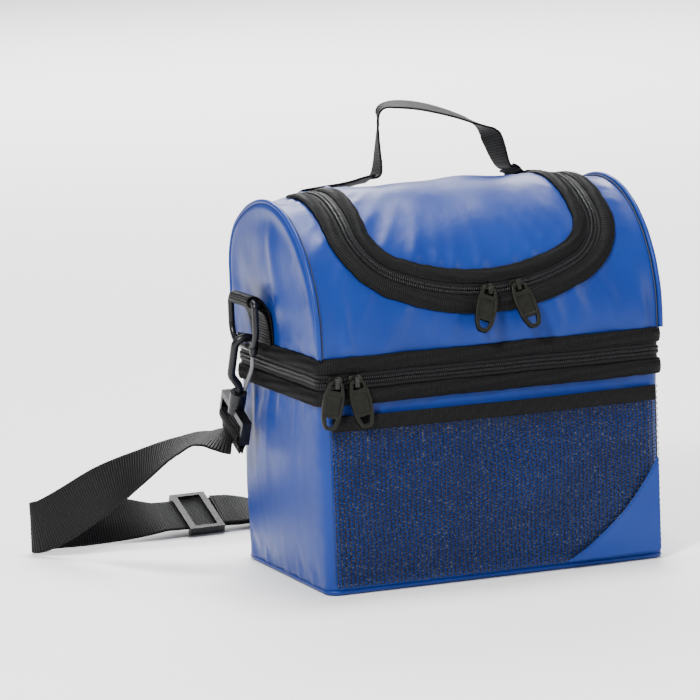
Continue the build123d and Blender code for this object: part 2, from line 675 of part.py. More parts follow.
def strap_stations(line):
    """Planes across the strap: X along its width and Z along its length."""
    knots = [0.0]
    for a, b in zip(STRAP_ROUTE, STRAP_ROUTE[1:]):
        knots.append(knots[-1] + math.dist(a[:3], b[:3]))
    stations = []
    count = round(line.length / STATION)
    for step in range(count + 1):
        share = step / count
        spot = share * knots[-1]
        run = max(i for i in range(len(knots) - 1) if knots[i] <= spot)
        mix = (spot - knots[run]) / (knots[run + 1] - knots[run])
        before = bearing(*STRAP_ROUTE[run][3:])
        after = bearing(*STRAP_ROUTE[run + 1][3:])
        across = before * (1 - mix) + after * mix
        tangent = line % share
        across = (across - tangent * across.dot(tangent)).normalized()
        stations.append(Plane(origin=line @ share, x_dir=across, z_dir=tangent))
    return stations


def ribbon(stations, low, high):
    """Webbing through a list of planes, between two heights off its middle line."""
    half = STRAP_WIDTH / 2
    sections = []
    for plane in stations:
        corners = [(-half, low), (half, low), (half, high), (-half, high)]
        sections.append(Wire.make_polygon([plane.from_local_coords((x, y, 0)) for x, y in corners]))
    return Solid.make_loft(sections, ruled=True)


GLIDE_LONG = 28.0
GLIDE_WIDE = 47.0
GLIDE_BAR = 5.0
GLIDE_THICK = 2.0


def tri_glide():
    """Slider that the strap passes under, over and under: X along the strap."""
    low = -WEB_THICK / 2 - GAP
    high = -low
    end = GLIDE_LONG / 2
    side = GLIDE_WIDE / 2
    rail = side - (STRAP_WIDTH / 2 + 1.0)
    body = slab((-end, -side, low - GLIDE_THICK), (end, rail - side, high + GLIDE_THICK))
    body += slab((-end, side - rail, low - GLIDE_THICK), (end, side, high + GLIDE_THICK))
    for x in (-end, end - GLIDE_BAR):
        body += slab((x, -side, high), (x + GLIDE_BAR, side, high + GLIDE_THICK))
    body += slab((-GLIDE_BAR / 2, -side, low - GLIDE_THICK), (GLIDE_BAR / 2, side, low))
    return body


def strap():
    line = strap_line()
    stations = strap_stations(line)
    a, b = (Vector(*row[:3]) for row in STRAP_ROUTE[GLIDE_RUN:GLIDE_RUN + 2])
    travel = (b - a).normalized()
    across = bearing(*STRAP_ROUTE[GLIDE_RUN][3:])
    outward = travel.cross(across).normalized()
    middle = (a + b) * 0.5
    place = Plane(origin=middle, x_dir=travel, z_dir=outward)
    start = stations.index(next(p for p in stations if p.origin.X > middle.X + GLIDE_LONG))
    half = WEB_THICK / 2
    webbing = ribbon(stations, -half, half)
    print("strap volume", round(webbing.volume), "of", round(line.length * STRAP_WIDTH * WEB_THICK))
    return {
        "shoulder_strap": webbing,
        "strap_tail": ribbon(stations[start:-2], half + GAP, half + GAP + WEB_THICK),
        "tri_glide": place.location * tri_glide(),
    }


# ---------------------------------------------------------------- build
def build():
    nodes = {}
    nodes.update(lower_walls())
    nodes.update(main_zipper())
    nodes.update(mesh_pocket())
    nodes.update(upper_walls())
    nodes.update(lid_zipper())
    nodes.update(handle())
    nodes.update(sliders_and_pulls())
    nodes.update(side_hardware())
    nodes.update(strap())
    return nodes


os.makedirs(PARTS, exist_ok=True)
for node, shape in build().items():
    export_step(shape, f"{PARTS}/{node}.step")
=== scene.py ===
"""Looks of the insulated cooler bag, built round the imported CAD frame.  Sizes are in
millimetres and turned into metres where a mesh is made; the shoulder strap's route is in metres."""
import bpy
import json
import math
import numpy as np
from mathutils import Matrix, Vector, noise


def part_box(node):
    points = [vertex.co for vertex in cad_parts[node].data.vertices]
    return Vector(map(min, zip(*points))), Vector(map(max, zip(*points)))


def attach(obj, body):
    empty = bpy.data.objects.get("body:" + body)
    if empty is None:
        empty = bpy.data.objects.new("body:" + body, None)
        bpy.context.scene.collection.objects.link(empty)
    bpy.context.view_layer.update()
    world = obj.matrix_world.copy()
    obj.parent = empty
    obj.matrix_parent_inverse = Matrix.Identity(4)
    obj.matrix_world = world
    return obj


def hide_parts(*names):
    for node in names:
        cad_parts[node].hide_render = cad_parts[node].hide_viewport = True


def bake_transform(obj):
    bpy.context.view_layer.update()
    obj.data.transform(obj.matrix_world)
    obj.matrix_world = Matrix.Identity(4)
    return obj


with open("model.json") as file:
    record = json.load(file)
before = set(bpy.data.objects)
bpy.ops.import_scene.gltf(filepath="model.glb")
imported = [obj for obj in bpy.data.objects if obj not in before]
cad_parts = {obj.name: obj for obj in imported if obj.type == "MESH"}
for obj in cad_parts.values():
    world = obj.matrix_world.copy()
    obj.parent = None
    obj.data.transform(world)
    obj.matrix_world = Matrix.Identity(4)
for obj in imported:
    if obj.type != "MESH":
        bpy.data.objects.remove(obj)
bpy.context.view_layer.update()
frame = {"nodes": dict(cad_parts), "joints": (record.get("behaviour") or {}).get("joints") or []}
MM = 0.001

# ---------------------------------------------------------------- sizes
base_low, base_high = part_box("base_panel")
WIDTH = (base_high.x - base_low.x) / MM
DEPTH = (base_high.y - base_low.y) / MM
FRONT_R = 9.0
REAR_R = 16.0
WALL = 6.6
PART_Z = 151.0
BAND_HALF = 17.0
BAND_LOW = PART_Z - BAND_HALF
BAND_TOP = PART_Z + BAND_HALF
ZIP_HALF = 5.8

CREST_Y = 5.0
FRONT_ARC_R = DEPTH / 2 + CREST_Y
FRONT_ARC_Z = BAND_TOP + 10.0
CREST_Z = FRONT_ARC_Z + FRONT_ARC_R
REAR_ARC_R = 110.0
REAR_ARC_Z = CREST_Z - REAR_ARC_R
SHOULDER_R = 42.0
SHOULDER_Y = DEPTH / 2 - SHOULDER_R
SHOULDER_Z = REAR_ARC_Z + math.sqrt((REAR_ARC_R - SHOULDER_R) ** 2 - (SHOULDER_Y - CREST_Y) ** 2)
SHOULDER_ANGLE = math.atan2(SHOULDER_Z - REAR_ARC_Z, SHOULDER_Y - CREST_Y)

U_HALF = 94.5
U_BOTTOM_S = 37.0
U_BOTTOM_R = 164.0
U_CORNER_R = 44.0
LID_ZIP = 4.9
LID_TAPE = 11.0
LID_HINGE_Y = 22.0
CROWN = 8.0              # how far the middle of the crest stands above its ends

HANDLE_Y = 40.0
STRAP_WIDTH = 38.0
WEB_THICK = 1.7
RING_X = WIDTH / 2 + 17.0
SIDE_Y = 20.0
PULL_LEAN = math.radians(8)


# ---------------------------------------------------------------- camera
def make_camera():
    """Camera from the front left, a little above the bag, with a slight roll."""
    turn, tilt, roll = math.radians(22.7), math.radians(9.1), math.radians(2.0)
    distance = 3.0
    middle = Vector((0, 0, 0.13))
    look = Vector((math.sin(turn) * math.cos(tilt), math.cos(turn) * math.cos(tilt), -math.sin(tilt)))
    right = Vector((math.cos(turn), -math.sin(turn), 0))
    up = right.cross(look)
    eye = middle - look * distance
    # The strap on the floor spreads to the left, so the camera aims left of the bag's middle.
    aim = middle - right * 0.0692 + up * 0.0241
    across = right * math.cos(roll) - up * math.sin(roll)
    look = (aim - eye).normalized()
    across = (across - look * across.dot(look)).normalized()
    upward = across.cross(look)
    camera = bpy.data.cameras.new("camera")
    camera.sensor_width = 36
    camera.lens = 213.2
    camera.clip_end = 100
    holder = bpy.data.objects.new("camera", camera)
    holder.matrix_world = Matrix((
        (across.x, upward.x, -look.x, eye.x),
        (across.y, upward.y, -look.y, eye.y),
        (across.z, upward.z, -look.z, eye.z),
        (0, 0, 0, 1)))
    bpy.context.scene.collection.objects.link(holder)
    bpy.context.scene.camera = holder


make_camera()


# ---------------------------------------------------------------- material helpers
class Nodes:
    """A material under construction: a shader and the nodes that feed it."""

    def __init__(self, name, color, roughness, **sockets):
        self.material = bpy.data.materials.new("look_" + name)
        self.material.use_nodes = True
        self.tree = self.material.node_tree
        self.shader = self.tree.nodes["Principled BSDF"]
        self.shader.inputs["Base Color"].default_value = (*color, 1)
        self.shader.inputs["Roughness"].default_value = roughness
        for socket, value in sockets.items():
            self.shader.inputs[socket.replace("_", " ")].default_value = value
        self.height = None

    def add(self, kind, **values):
        node = self.tree.nodes.new(kind)
        for key, value in values.items():
            if hasattr(node, key):
                setattr(node, key, value)
            else:
                node.inputs[key].default_value = value
        return node

    def link(self, out, into):
        self.tree.links.new(out, into)

    def place(self, uv):
        """Object coordinates in metres, or the piece's own strip coordinates in metres."""
        if uv:
            return self.add("ShaderNodeUVMap", uv_map="strip").outputs["UV"]
        return self.add("ShaderNodeTexCoord").outputs["Object"]

    def noise(self, scale, detail=3.0, stretch=(1, 1, 1), uv=False):
        mapping = self.add("ShaderNodeMapping")
        mapping.inputs["Scale"].default_value = stretch
        self.link(self.place(uv), mapping.inputs["Vector"])
        node = self.add("ShaderNodeTexNoise", Scale=scale, Detail=detail)
        self.link(mapping.outputs["Vector"], node.inputs["Vector"])
        return node.outputs["Fac"]

    def waves(self, per_metre, turn=0.0, uv=True):
        """Straight ribs, so many to the metre."""
        mapping = self.add("ShaderNodeMapping")
        mapping.inputs["Rotation"].default_value = (0, 0, turn)
        self.link(self.place(uv), mapping.inputs["Vector"])
        node = self.add("ShaderNodeTexWave", Scale=per_metre * 2 * math.pi / 20)
        self.link(mapping.outputs["Vector"], node.inputs["Vector"])
        return node.outputs["Fac"]

    def times(self, first, second):
        node = self.add("ShaderNodeMath", operation="MULTIPLY")
        self.link(first, node.inputs[0])
        self.link(second, node.inputs[1])
        return node.outputs[0]

    def tint(self, factor, dark, light, low=0.3, high=0.7):
        ramp = self.add("ShaderNodeValToRGB")
        ramp.color_ramp.elements[0].position = low
        ramp.color_ramp.elements[0].color = (*dark, 1)
        ramp.color_ramp.elements[1].position = high
        ramp.color_ramp.elements[1].color = (*light, 1)
        self.link(factor, ramp.inputs["Fac"])
        self.link(ramp.outputs["Color"], self.shader.inputs["Base Color"])

    def rough(self, factor, low, high):
        node = self.add("ShaderNodeMapRange")
        node.inputs["To Min"].default_value = low
        node.inputs["To Max"].default_value = high
        self.link(factor, node.inputs["Value"])
        self.link(node.outputs["Result"], self.shader.inputs["Roughness"])

    def bump(self, factor, depth, strength=1.0):
        node = self.add("ShaderNodeBump", Distance=depth, Strength=strength)
        self.link(factor, node.inputs["Height"])
        if self.height:
            self.link(self.height, node.inputs["Normal"])
        self.height = node.outputs["Normal"]
        self.link(self.height, self.shader.inputs["Normal"])


def blue_fabric():
    """Coated woven nylon: satin, with a very fine weave and soft creases."""
    m = Nodes("blue_fabric", (0.003, 0.023, 0.165), 0.38, Specular_IOR_Level=0.23)
    m.tint(m.noise(14, 4), (0.0022, 0.019, 0.148), (0.0036, 0.027, 0.185))
    m.rough(m.noise(60, 3), 0.36, 0.44)
    m.bump(m.noise(2600, 2), 0.00006, 0.5)
    m.bump(m.noise(85, 4, (1, 1, 0.5)), 0.0010, 0.30)
    return m.material


def black_tape():
    """Binding tape: fine woven ribs across it, each rib's crown painted slightly grey as a painted sheen."""
    m = Nodes("black_tape", (0.004, 0.004, 0.005), 0.60, Specular_IOR_Level=0.10)
    ribs = m.waves(760, 0.12)
    # The lighter colour on the rib crowns is a painted sheen.
    m.tint(m.times(ribs, m.noise(1100, 2)), (0.0008, 0.0008, 0.001), (0.011, 0.011, 0.012), 0.14, 0.60)
    m.bump(ribs, 0.0003, 0.8)
    m.bump(m.noise(2200, 2), 0.0001, 0.5)
    return m.material


def black_webbing():
    """Woven strap: strong ribs across, broken into beads by the columns along it."""
    m = Nodes("black_webbing", (0.004, 0.004, 0.005), 0.55, Specular_IOR_Level=0.11)
    ribs = m.waves(480)
    weave = m.times(ribs, m.waves(640, math.pi / 2))
    m.tint(m.times(weave, m.noise(900, 2)), (0.0008, 0.0008, 0.001), (0.024, 0.024, 0.025), 0.08, 0.55)
    m.bump(ribs, 0.0004, 0.9)
    m.bump(weave, 0.0002, 0.6)
    return m.material


def coil_plastic():
    m = Nodes("zipper_coil", (0.006, 0.006, 0.007), 0.36, Specular_IOR_Level=0.28)
    m.tint(m.noise(700, 2), (0.003, 0.003, 0.004), (0.012, 0.012, 0.013))
    m.bump(m.noise(3000, 2), 0.00005, 0.4)
    return m.material


def zipper_tape():
    m = Nodes("zipper_tape", (0.004, 0.004, 0.005), 0.6, Specular_IOR_Level=0.12)
    ribs = m.waves(900)
    m.tint(ribs, (0.0015, 0.0015, 0.0018), (0.010, 0.010, 0.011))
    m.bump(ribs, 0.0002, 0.5)
    return m.material


def black_plastic():
    """Moulded acetal: smooth, with faint flow marks and scuffs."""
    m = Nodes("black_plastic", (0.003, 0.003, 0.004), 0.28, Specular_IOR_Level=0.28)
    m.tint(m.noise(90, 4), (0.002, 0.002, 0.003), (0.007, 0.007, 0.009))
    m.rough(m.noise(160, 4), 0.20, 0.38)
    m.bump(m.noise(900, 3), 0.00004, 0.3)
    return m.material


def grey_plastic():
    m = Nodes("grey_plastic", (0.10, 0.10, 0.105), 0.34)
    m.tint(m.noise(120, 3), (0.07, 0.07, 0.075), (0.17, 0.17, 0.175))
    m.bump(m.noise(900, 3), 0.00004, 0.3)
    return m.material


def pull_rubber():
    """Soft moulded rubber: dark olive grey, matt, finely pitted."""
    m = Nodes("pull_rubber", (0.010, 0.010, 0.007), 0.42, Specular_IOR_Level=0.2)
    m.tint(m.noise(260, 3), (0.004, 0.004, 0.003), (0.009, 0.009, 0.006))
    m.bump(m.noise(2400, 3), 0.00006, 0.4)
    return m.material


def slider_metal():
    """Black lacquer that is rubbed a little on the high places."""
    m = Nodes("slider_metal", (0.008, 0.008, 0.007), 0.30, Specular_IOR_Level=0.3)
    m.tint(m.noise(500, 4), (0.005, 0.005, 0.004), (0.030, 0.029, 0.025), 0.45, 0.8)
    m.rough(m.noise(400, 3), 0.22, 0.45)
    return m.material


def foil_liner():
    """Silvered film with small creases."""
    m = Nodes("foil_liner", (0.62, 0.63, 0.64), 0.28, Metallic=0.75)
    m.tint(m.noise(30, 4), (0.52, 0.53, 0.54), (0.70, 0.71, 0.72))
    m.bump(m.noise(90, 5), 0.0012, 0.6)
    m.bump(m.noise(420, 3), 0.0003, 0.4)
    return m.material


def thread():
    m = Nodes("thread", (0.010, 0.012, 0.030), 0.7)
    m.tint(m.noise(1200, 2), (0.008, 0.009, 0.020), (0.020, 0.024, 0.055))
    return m.material


def net_thread():
    m = Nodes("net_thread", (0.004, 0.004, 0.008), 0.42, Specular_IOR_Level=0.25)
    # The light flecks along the threads are painted highlights of lit threads.
    m.tint(m.noise(800, 2), (0.0016, 0.0016, 0.003), (0.10, 0.10, 0.105), 0.53, 0.74)
    m.bump(m.noise(2500, 2), 0.0001, 0.4)
    return m.material


BLUE = blue_fabric()
TAPE = black_tape()
WEBBING = black_webbing()
COIL = coil_plastic()
ZIP_TAPE = zipper_tape()
PLASTIC = black_plastic()
GREY = grey_plastic()
RUBBER = pull_rubber()
METAL = slider_metal()
FOIL = foil_liner()
THREAD = thread()
NET = net_thread()


# ---------------------------------------------------------------- mesh helpers
def piece(name, points, faces, material, body=None, uvs=None, nodes=(), smooth=True):
    """A mesh object from points in millimetres, riding on a body and standing for CAD nodes."""
    mesh = bpy.data.meshes.new(name)
    mesh.from_pydata([tuple(c * MM for c in p) for p in points], [], faces)
    if uvs is not None:
        layer = mesh.uv_layers.new(name="strip")
        for loop in mesh.loops:
            u, v = uvs[loop.vertex_index]
            layer.data[loop.index].uv = (u * MM, v * MM)
    mesh.polygons.foreach_set("use_smooth", [smooth] * len(mesh.polygons))
    mesh.materials.append(material)
    mesh.update()
    obj = bpy.data.objects.new(name, mesh)
    bpy.context.scene.collection.objects.link(obj)
    if nodes:
        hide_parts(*nodes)
    if body:
        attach(obj, body)
    return obj


def tube(place, stations, section, closed=False):
    """Points, faces and strip coordinates of a closed section carried along stations."""
    points, uvs = [], []
    round_it = len(section)
    for station in stations:
        for across, out in section:
            points.append(place(station, across, out))
            uvs.append((station, across))
    last = (len(stations) - 1) * round_it
    faces = grid_faces(len(stations), round_it, wrap=True)
    if closed:
        for k in range(round_it):
            m = (k + 1) % round_it
            faces.append((last + k, last + m, m, k))
    else:
        faces.append(tuple(range(round_it - 1, -1, -1)))
        faces.append(tuple(last + k for k in range(round_it)))
    return points, faces, uvs


def steps(start, stop, size):
    count = max(2, int(round(abs(stop - start) / size)) + 1)
    return [start + (stop - start) * i / (count - 1) for i in range(count)]


def circle(radius, count=12):
    return [(radius * math.cos(2 * math.pi * k / count), radius * math.sin(2 * math.pi * k / count))
            for k in range(count)]


def grid_faces(rows, columns, wrap=False, first=0):
    """Quads over rows of points, joined across the ends of each row when it wraps."""
    faces = []
    for i in range(rows - 1):
        for k in range(columns if wrap else columns - 1):
            m = (k + 1) % columns
            low, high = first + i * columns, first + (i + 1) * columns
            faces.append((low + k, low + m, high + m, high + k))
    return faces


def ease(value, low, high):
    t = min(1.0, max(0.0, (value - low) / (high - low)))
    return t * t * (3 - 2 * t)


def ripple(x, y, scale, seed=0.0):
    """Smooth noise from -1 to 1 at a scale in millimetres."""
    return noise.noise(Vector((x / scale, y / scale, seed)))


def gathers(along, away, pitch, seed):
    """Ridges from 0 to 1 that run away from a seam, some stronger than others."""
    phase = 2 * math.pi * along / pitch + 4.0 * ripple(along, away * 0.25, pitch * 1.5, seed)
    strength = 0.65 + 1.1 * ripple(along, away, pitch * 2.5, seed + 4)
    return max(0.0, math.cos(phase)) ** 2.5 * max(0.15, strength)


# ---------------------------------------------------------------- plan outline and barrel
def plan_runs():
    """Straight runs and corners of the plan from the middle of the rear, round the left side."""
    w, d = WIDTH / 2, DEPTH / 2
    f, r = FRONT_R, REAR_R
    quarter = math.pi / 2
    return [
        ("line", (0, d), (-w + r, d), (0, 1)),
        ("arc", (-w + r, d - r), r, quarter, quarter),
        ("line", (-w, d - r), (-w, -d + f), (-1, 0)),
        ("arc", (-w + f, -d + f), f, 2 * quarter, quarter),
        ("line", (-w + f, -d), (w - f, -d), (0, -1)),
        ("arc", (w - f, -d + f), f, 3 * quarter, quarter),
        ("line", (w, -d + f), (w, d - r), (1, 0)),
        ("arc", (w - r, d - r), r, 0, quarter),
        ("line", (w - r, d), (0, d), (0, 1)),
    ]


def run_length(run):
    return math.dist(run[1], run[2]) if run[0] == "line" else run[2] * run[4]


PLAN = plan_runs()
PLAN_LENGTH = sum(run_length(run) for run in PLAN)


def plan_point(distance):
    """X, Y and the outward normal at a distance round the plan."""
    distance = distance % PLAN_LENGTH
    for run in PLAN:
        length = run_length(run)
        if distance <= length:
            share = distance / length
            if run[0] == "line":
                x = run[1][0] + (run[2][0] - run[1][0]) * share
                y = run[1][1] + (run[2][1] - run[1][1]) * share
                return x, y, run[3][0], run[3][1]
            angle = run[3] + run[4] * share
            c, s = math.cos(angle), math.sin(angle)
            return run[1][0] + run[2] * c, run[1][1] + run[2] * s, c, s
        distance -= length
    return 0.0, DEPTH / 2, 0.0, 1.0


OPEN_START = WIDTH / 2 - REAR_R - 6.0
OPEN_STOP = PLAN_LENGTH - OPEN_START

FRONT_QUARTER = FRONT_ARC_R * math.pi / 2
REAR_RUN = REAR_ARC_R * (math.pi / 2 - SHOULDER_ANGLE)
SHOULDER_RUN = SHOULDER_R * SHOULDER_ANGLE
RISE = FRONT_ARC_Z - BAND_TOP
S_END = RISE + FRONT_QUARTER + REAR_RUN + SHOULDER_RUN + (SHOULDER_Z - BAND_TOP)


def section_point(s):
    """Y, Z and the outward normal at a distance up the barrel from the front of the band."""
    if s <= RISE:
        return -DEPTH / 2, BAND_TOP + s, -1.0, 0.0
    s -= RISE
    if s <= FRONT_QUARTER:
        angle = math.pi - s / FRONT_ARC_R
        c, n = math.cos(angle), math.sin(angle)
        return CREST_Y + FRONT_ARC_R * c, FRONT_ARC_Z + FRONT_ARC_R * n, c, n
    s -= FRONT_QUARTER
    if s <= REAR_RUN:
        angle = math.pi / 2 - s / REAR_ARC_R
        c, n = math.cos(angle), math.sin(angle)
        return CREST_Y + REAR_ARC_R * c, REAR_ARC_Z + REAR_ARC_R * n, c, n
    s -= REAR_RUN
    if s <= SHOULDER_RUN:
        angle = SHOULDER_ANGLE - s / SHOULDER_R
        c, n = math.cos(angle), math.sin(angle)
        return SHOULDER_Y + SHOULDER_R * c, SHOULDER_Z + SHOULDER_R * n, c, n
    return DEPTH / 2, SHOULDER_Z - (s - SHOULDER_RUN), 1.0, 0.0


CREST_S = RISE + FRONT_QUARTER


def rear_s(y):
    return CREST_S + REAR_ARC_R * math.asin((y - CREST_Y) / REAR_ARC_R)


HINGE_S = rear_s(LID_HINGE_Y)


def crown(x, s):
    """Extra height over the middle of the barrel, where the padding lifts it."""
    across = max(0.0, 1 - (x / (WIDTH / 2 - 6)) ** 2)
    return CROWN * across * ease(s, 55, CREST_S) * (1 - ease(s, CREST_S + 25, S_END - 60))


def on_barrel(x, s, lift=0.0):
    """Point of the crowned barrel, lifted off it."""
    y, z, ny, nz = section_point(s)
    out = lift + crown(x, s)
    return x, y + ny * out, z + nz * out


# ---------------------------------------------------------------- the U
U_CENTRE_S = U_BOTTOM_S + U_BOTTOM_R
U_CORNER_X = U_HALF - U_CORNER_R
U_CORNER_S = U_CENTRE_S - math.sqrt((U_BOTTOM_R - U_CORNER_R) ** 2 - U_CORNER_X ** 2)
U_TURN = math.asin(U_CORNER_X / (U_BOTTOM_R - U_CORNER_R))
U_RUNS = (U_BOTTOM_R * U_TURN, U_CORNER_R * (math.pi / 2 - U_TURN), HINGE_S - U_CORNER_S)
U_REACH = sum(U_RUNS)


def u_point(distance):
    """X, S and the outward direction at a signed distance along the U from its lowest point."""
    side = -1 if distance < 0 else 1
    d = abs(distance)
    if d <= U_RUNS[0]:
        a = d / U_BOTTOM_R
        x, s = U_BOTTOM_R * math.sin(a), U_CENTRE_S - U_BOTTOM_R * math.cos(a)
        return side * x, s, side * math.sin(a), -math.cos(a)
    d -= U_RUNS[0]
    if d <= U_RUNS[1]:
        a = U_TURN + d / U_CORNER_R
        x, s = U_CORNER_X + U_CORNER_R * math.sin(a), U_CORNER_S - U_CORNER_R * math.cos(a)
        return side * x, s, side * math.sin(a), -math.cos(a)
    return side * U_HALF, U_CORNER_S + d - U_RUNS[1], side * 1.0, 0.0


def on_u(distance, across, out):
    x, s, nx, ns = u_point(distance)
    return on_barrel(x + nx * across, s + ns * across, out)


def u_offset(x, s):
    """Signed distance from the U, positive outside it."""
    px = abs(x)
    from_bottom = math.atan2(px, U_CENTRE_S - s)
    if from_bottom <= U_TURN and s < U_CENTRE_S:
        return math.hypot(px, s - U_CENTRE_S) - U_BOTTOM_R
    if s <= U_CORNER_S and px > U_CORNER_X:
        return math.hypot(px - U_CORNER_X, s - U_CORNER_S) - U_CORNER_R
    return px - U_HALF


# ---------------------------------------------------------------- cloth
def settle(obj, pinned, out, pressure, slack, cap_out, cap_in):
    """Swells a panel with cloth simulation, keeps its move within caps, and applies it."""
    rest = np.array([v.co for v in obj.data.vertices])
    group = obj.vertex_groups.new(name="pin")
    for index in pinned:
        group.add([index], 1.0, "REPLACE")
    cloth = obj.modifiers.new("cloth", "CLOTH")
    cloth.settings.quality = 6
    cloth.settings.mass = 0.2
    cloth.settings.tension_stiffness = 25
    cloth.settings.compression_stiffness = 25
    cloth.settings.shear_stiffness = 8
    cloth.settings.bending_stiffness = 0.3
    cloth.settings.use_pressure = pressure > 0
    cloth.settings.uniform_pressure_force = pressure
    cloth.settings.shrink_min = -slack
    cloth.settings.vertex_group_mass = "pin"
    cloth.settings.effector_weights.gravity = 0
    cloth.collision_settings.use_collision = False
    scene = bpy.context.scene
    for step in range(1, 21):
        scene.frame_set(step)
    shown = obj.evaluated_get(bpy.context.evaluated_depsgraph_get())
    moved = np.array([v.co for v in shown.data.vertices])
    obj.modifiers.remove(cloth)
    obj.vertex_groups.remove(group)
    scene.frame_set(1)
    shift = moved - rest
    along = np.einsum("ij,ij->i", shift, out)
    kept = np.clip(along, -cap_in * MM, cap_out * MM)
    side = shift - along[:, None] * out
    length = np.linalg.norm(side, axis=1)[:, None]
    side *= np.minimum(1.0, 1.5 * MM / np.maximum(length, 1e-9))
    rest = rest + out * kept[:, None] + side
    obj.data.vertices.foreach_set("co", rest.ravel())
    obj.data.update()
    return obj


def finish_skin(obj, thick, levels=1):
    """A subdivision, unless there are no levels, and a thickness, applied: the panel is a closed sheet."""
    if levels:
        smooth = obj.modifiers.new("smooth", "SUBSURF")
        smooth.levels = smooth.render_levels = levels
    solid = obj.modifiers.new("thick", "SOLIDIFY")
    solid.thickness = thick * MM
    solid.offset = -1
    shown = obj.evaluated_get(bpy.context.evaluated_depsgraph_get())
    mesh = bpy.data.meshes.new_from_object(shown)
    obj.modifiers.clear()
    obj.data = mesh
    return obj


def film(name, points, faces, thick, body, nodes=(), smooth=True):
    """Silvered film with a thickness, riding on a body."""
    sheet = piece(name, points, faces, FOIL, smooth=smooth)
    finish_skin(sheet, thick, 0)
    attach(sheet, body)
    if nodes:
        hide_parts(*nodes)


# ---------------------------------------------------------------- lower compartment
def lower_bulge(distance, z):
    """How far the padded wall stands out, and its soft upright puckers."""
    x, y, nx, ny = plan_point(distance)
    share = (z - 4) / (BAND_LOW - 4)
    rise = math.sin(math.pi * min(1, max(0, share)))
    front = max(0.0, -ny)
    if abs(ny) > 0.99:
        edge = max(0.0, 1 - (x / (WIDTH / 2 - FRONT_R)) ** 2)
        most = 0.6 if front else 5.0
    elif abs(nx) > 0.99:
        edge = max(0.0, 1 - (y / (DEPTH / 2 - 10)) ** 2)
        most = 4.5
    else:
        edge, most = 0.0, 0.0
    near_band = math.exp(-(BAND_LOW - z) / 22) if z < BAND_LOW else 1.0
    near_base = math.exp(-(z - 4) / 14)
    pucker = gathers(distance, z, 24, 3.1) * (2.6 * near_band + 2.0 * near_base)
    broad = ripple(distance, z * 0.5, 48, 7.7) * 2.2 * rise
    calm = 0.35 if front else 1.0
    return most * rise * edge + (pucker + broad) * calm


def lower_shell():
    heights = steps(3.4, BAND_LOW + 4, 4.5)
    around = [PLAN_LENGTH * i / 190 for i in range(190)]
    points, out = [], []
    for z in heights:
        for distance in around:
            x, y, nx, ny = plan_point(distance)
            grow = lower_bulge(distance, z)
            points.append((x + nx * grow, y + ny * grow, z))
            out.append((nx, ny, 0))
    columns = len(around)
    faces = grid_faces(len(heights), columns, wrap=True)
    shell = piece("lower_shell", points, faces, BLUE)
    pinned = list(range(columns)) + [len(points) - columns + k for k in range(columns)]
    pinned += [len(points) - 2 * columns + k for k in range(columns)]
    for k, distance in enumerate(around):
        _, _, nx, ny = plan_point(distance)
        if 0.05 < abs(nx) < 0.999 and ny < 0:
            pinned += [row * columns + k for row in range(len(heights))]
    settle(shell, sorted(set(pinned)), np.array(out, float), 1.2, 0.012, 1.0, 0.4)
    finish_skin(shell, 1.0)
    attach(shell, "root")
    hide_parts("lower_front_panel", "lower_side_and_back_panel",
                "lower_front_foam", "lower_side_and_back_foam")
    return shell


def base_panel():
    """The flat base with its rolled edge and the piping seam just above it."""
    rows = [(-6, 0.0), (-1.6, 0.0), (0.2, 0.9), (0.7, 2.2), (0.1, 3.4), (-1.4, 3.8), (-6, 3.6)]
    around = steps(0, PLAN_LENGTH, 5)[:-1]
    points, faces = [], []
    for grow, z in rows:
        for distance in around:
            x, y, nx, ny = plan_point(distance)
            wobble = 0.35 * ripple(distance, 0, 17, 5.0) if z > 0 else 0
            points.append((x + nx * (grow + wobble), y + ny * (grow + wobble), z))
    columns = len(around)
    faces = grid_faces(len(rows), columns, wrap=True)
    faces.append(tuple(range(columns - 1, -1, -1)))
    faces.append(tuple((len(rows) - 1) * columns + k for k in range(columns)))
    piece("base", points, faces, BLUE, "root", nodes=("base_panel", "base_foam"))


def lower_lining():
    """Silvered film inside the lower compartment, with a rolled rim."""
    rows = [(z, -WALL - 0.4) for z in steps(8.4, 149.6, 7)]
    around = steps(0, PLAN_LENGTH, 6)[:-1]
    points = []
    for z, grow in rows:
        for distance in around:
            x, y, nx, ny = plan_point(distance)
            free = ease(z, 8, 20) * (1 - ease(z, 138, 149))
            push = grow - 1.0 * free * (0.5 + ripple(distance, z, 22, 1.2))
            points.append((x + nx * push, y + ny * push, z))
    columns = len(around)
    faces = [tuple(reversed(f)) for f in grid_faces(len(rows), columns, wrap=True)]
    faces.append(tuple(range(columns)))
    film("lower_lining", points, faces, 0.5, "root", ("lower_liner",))


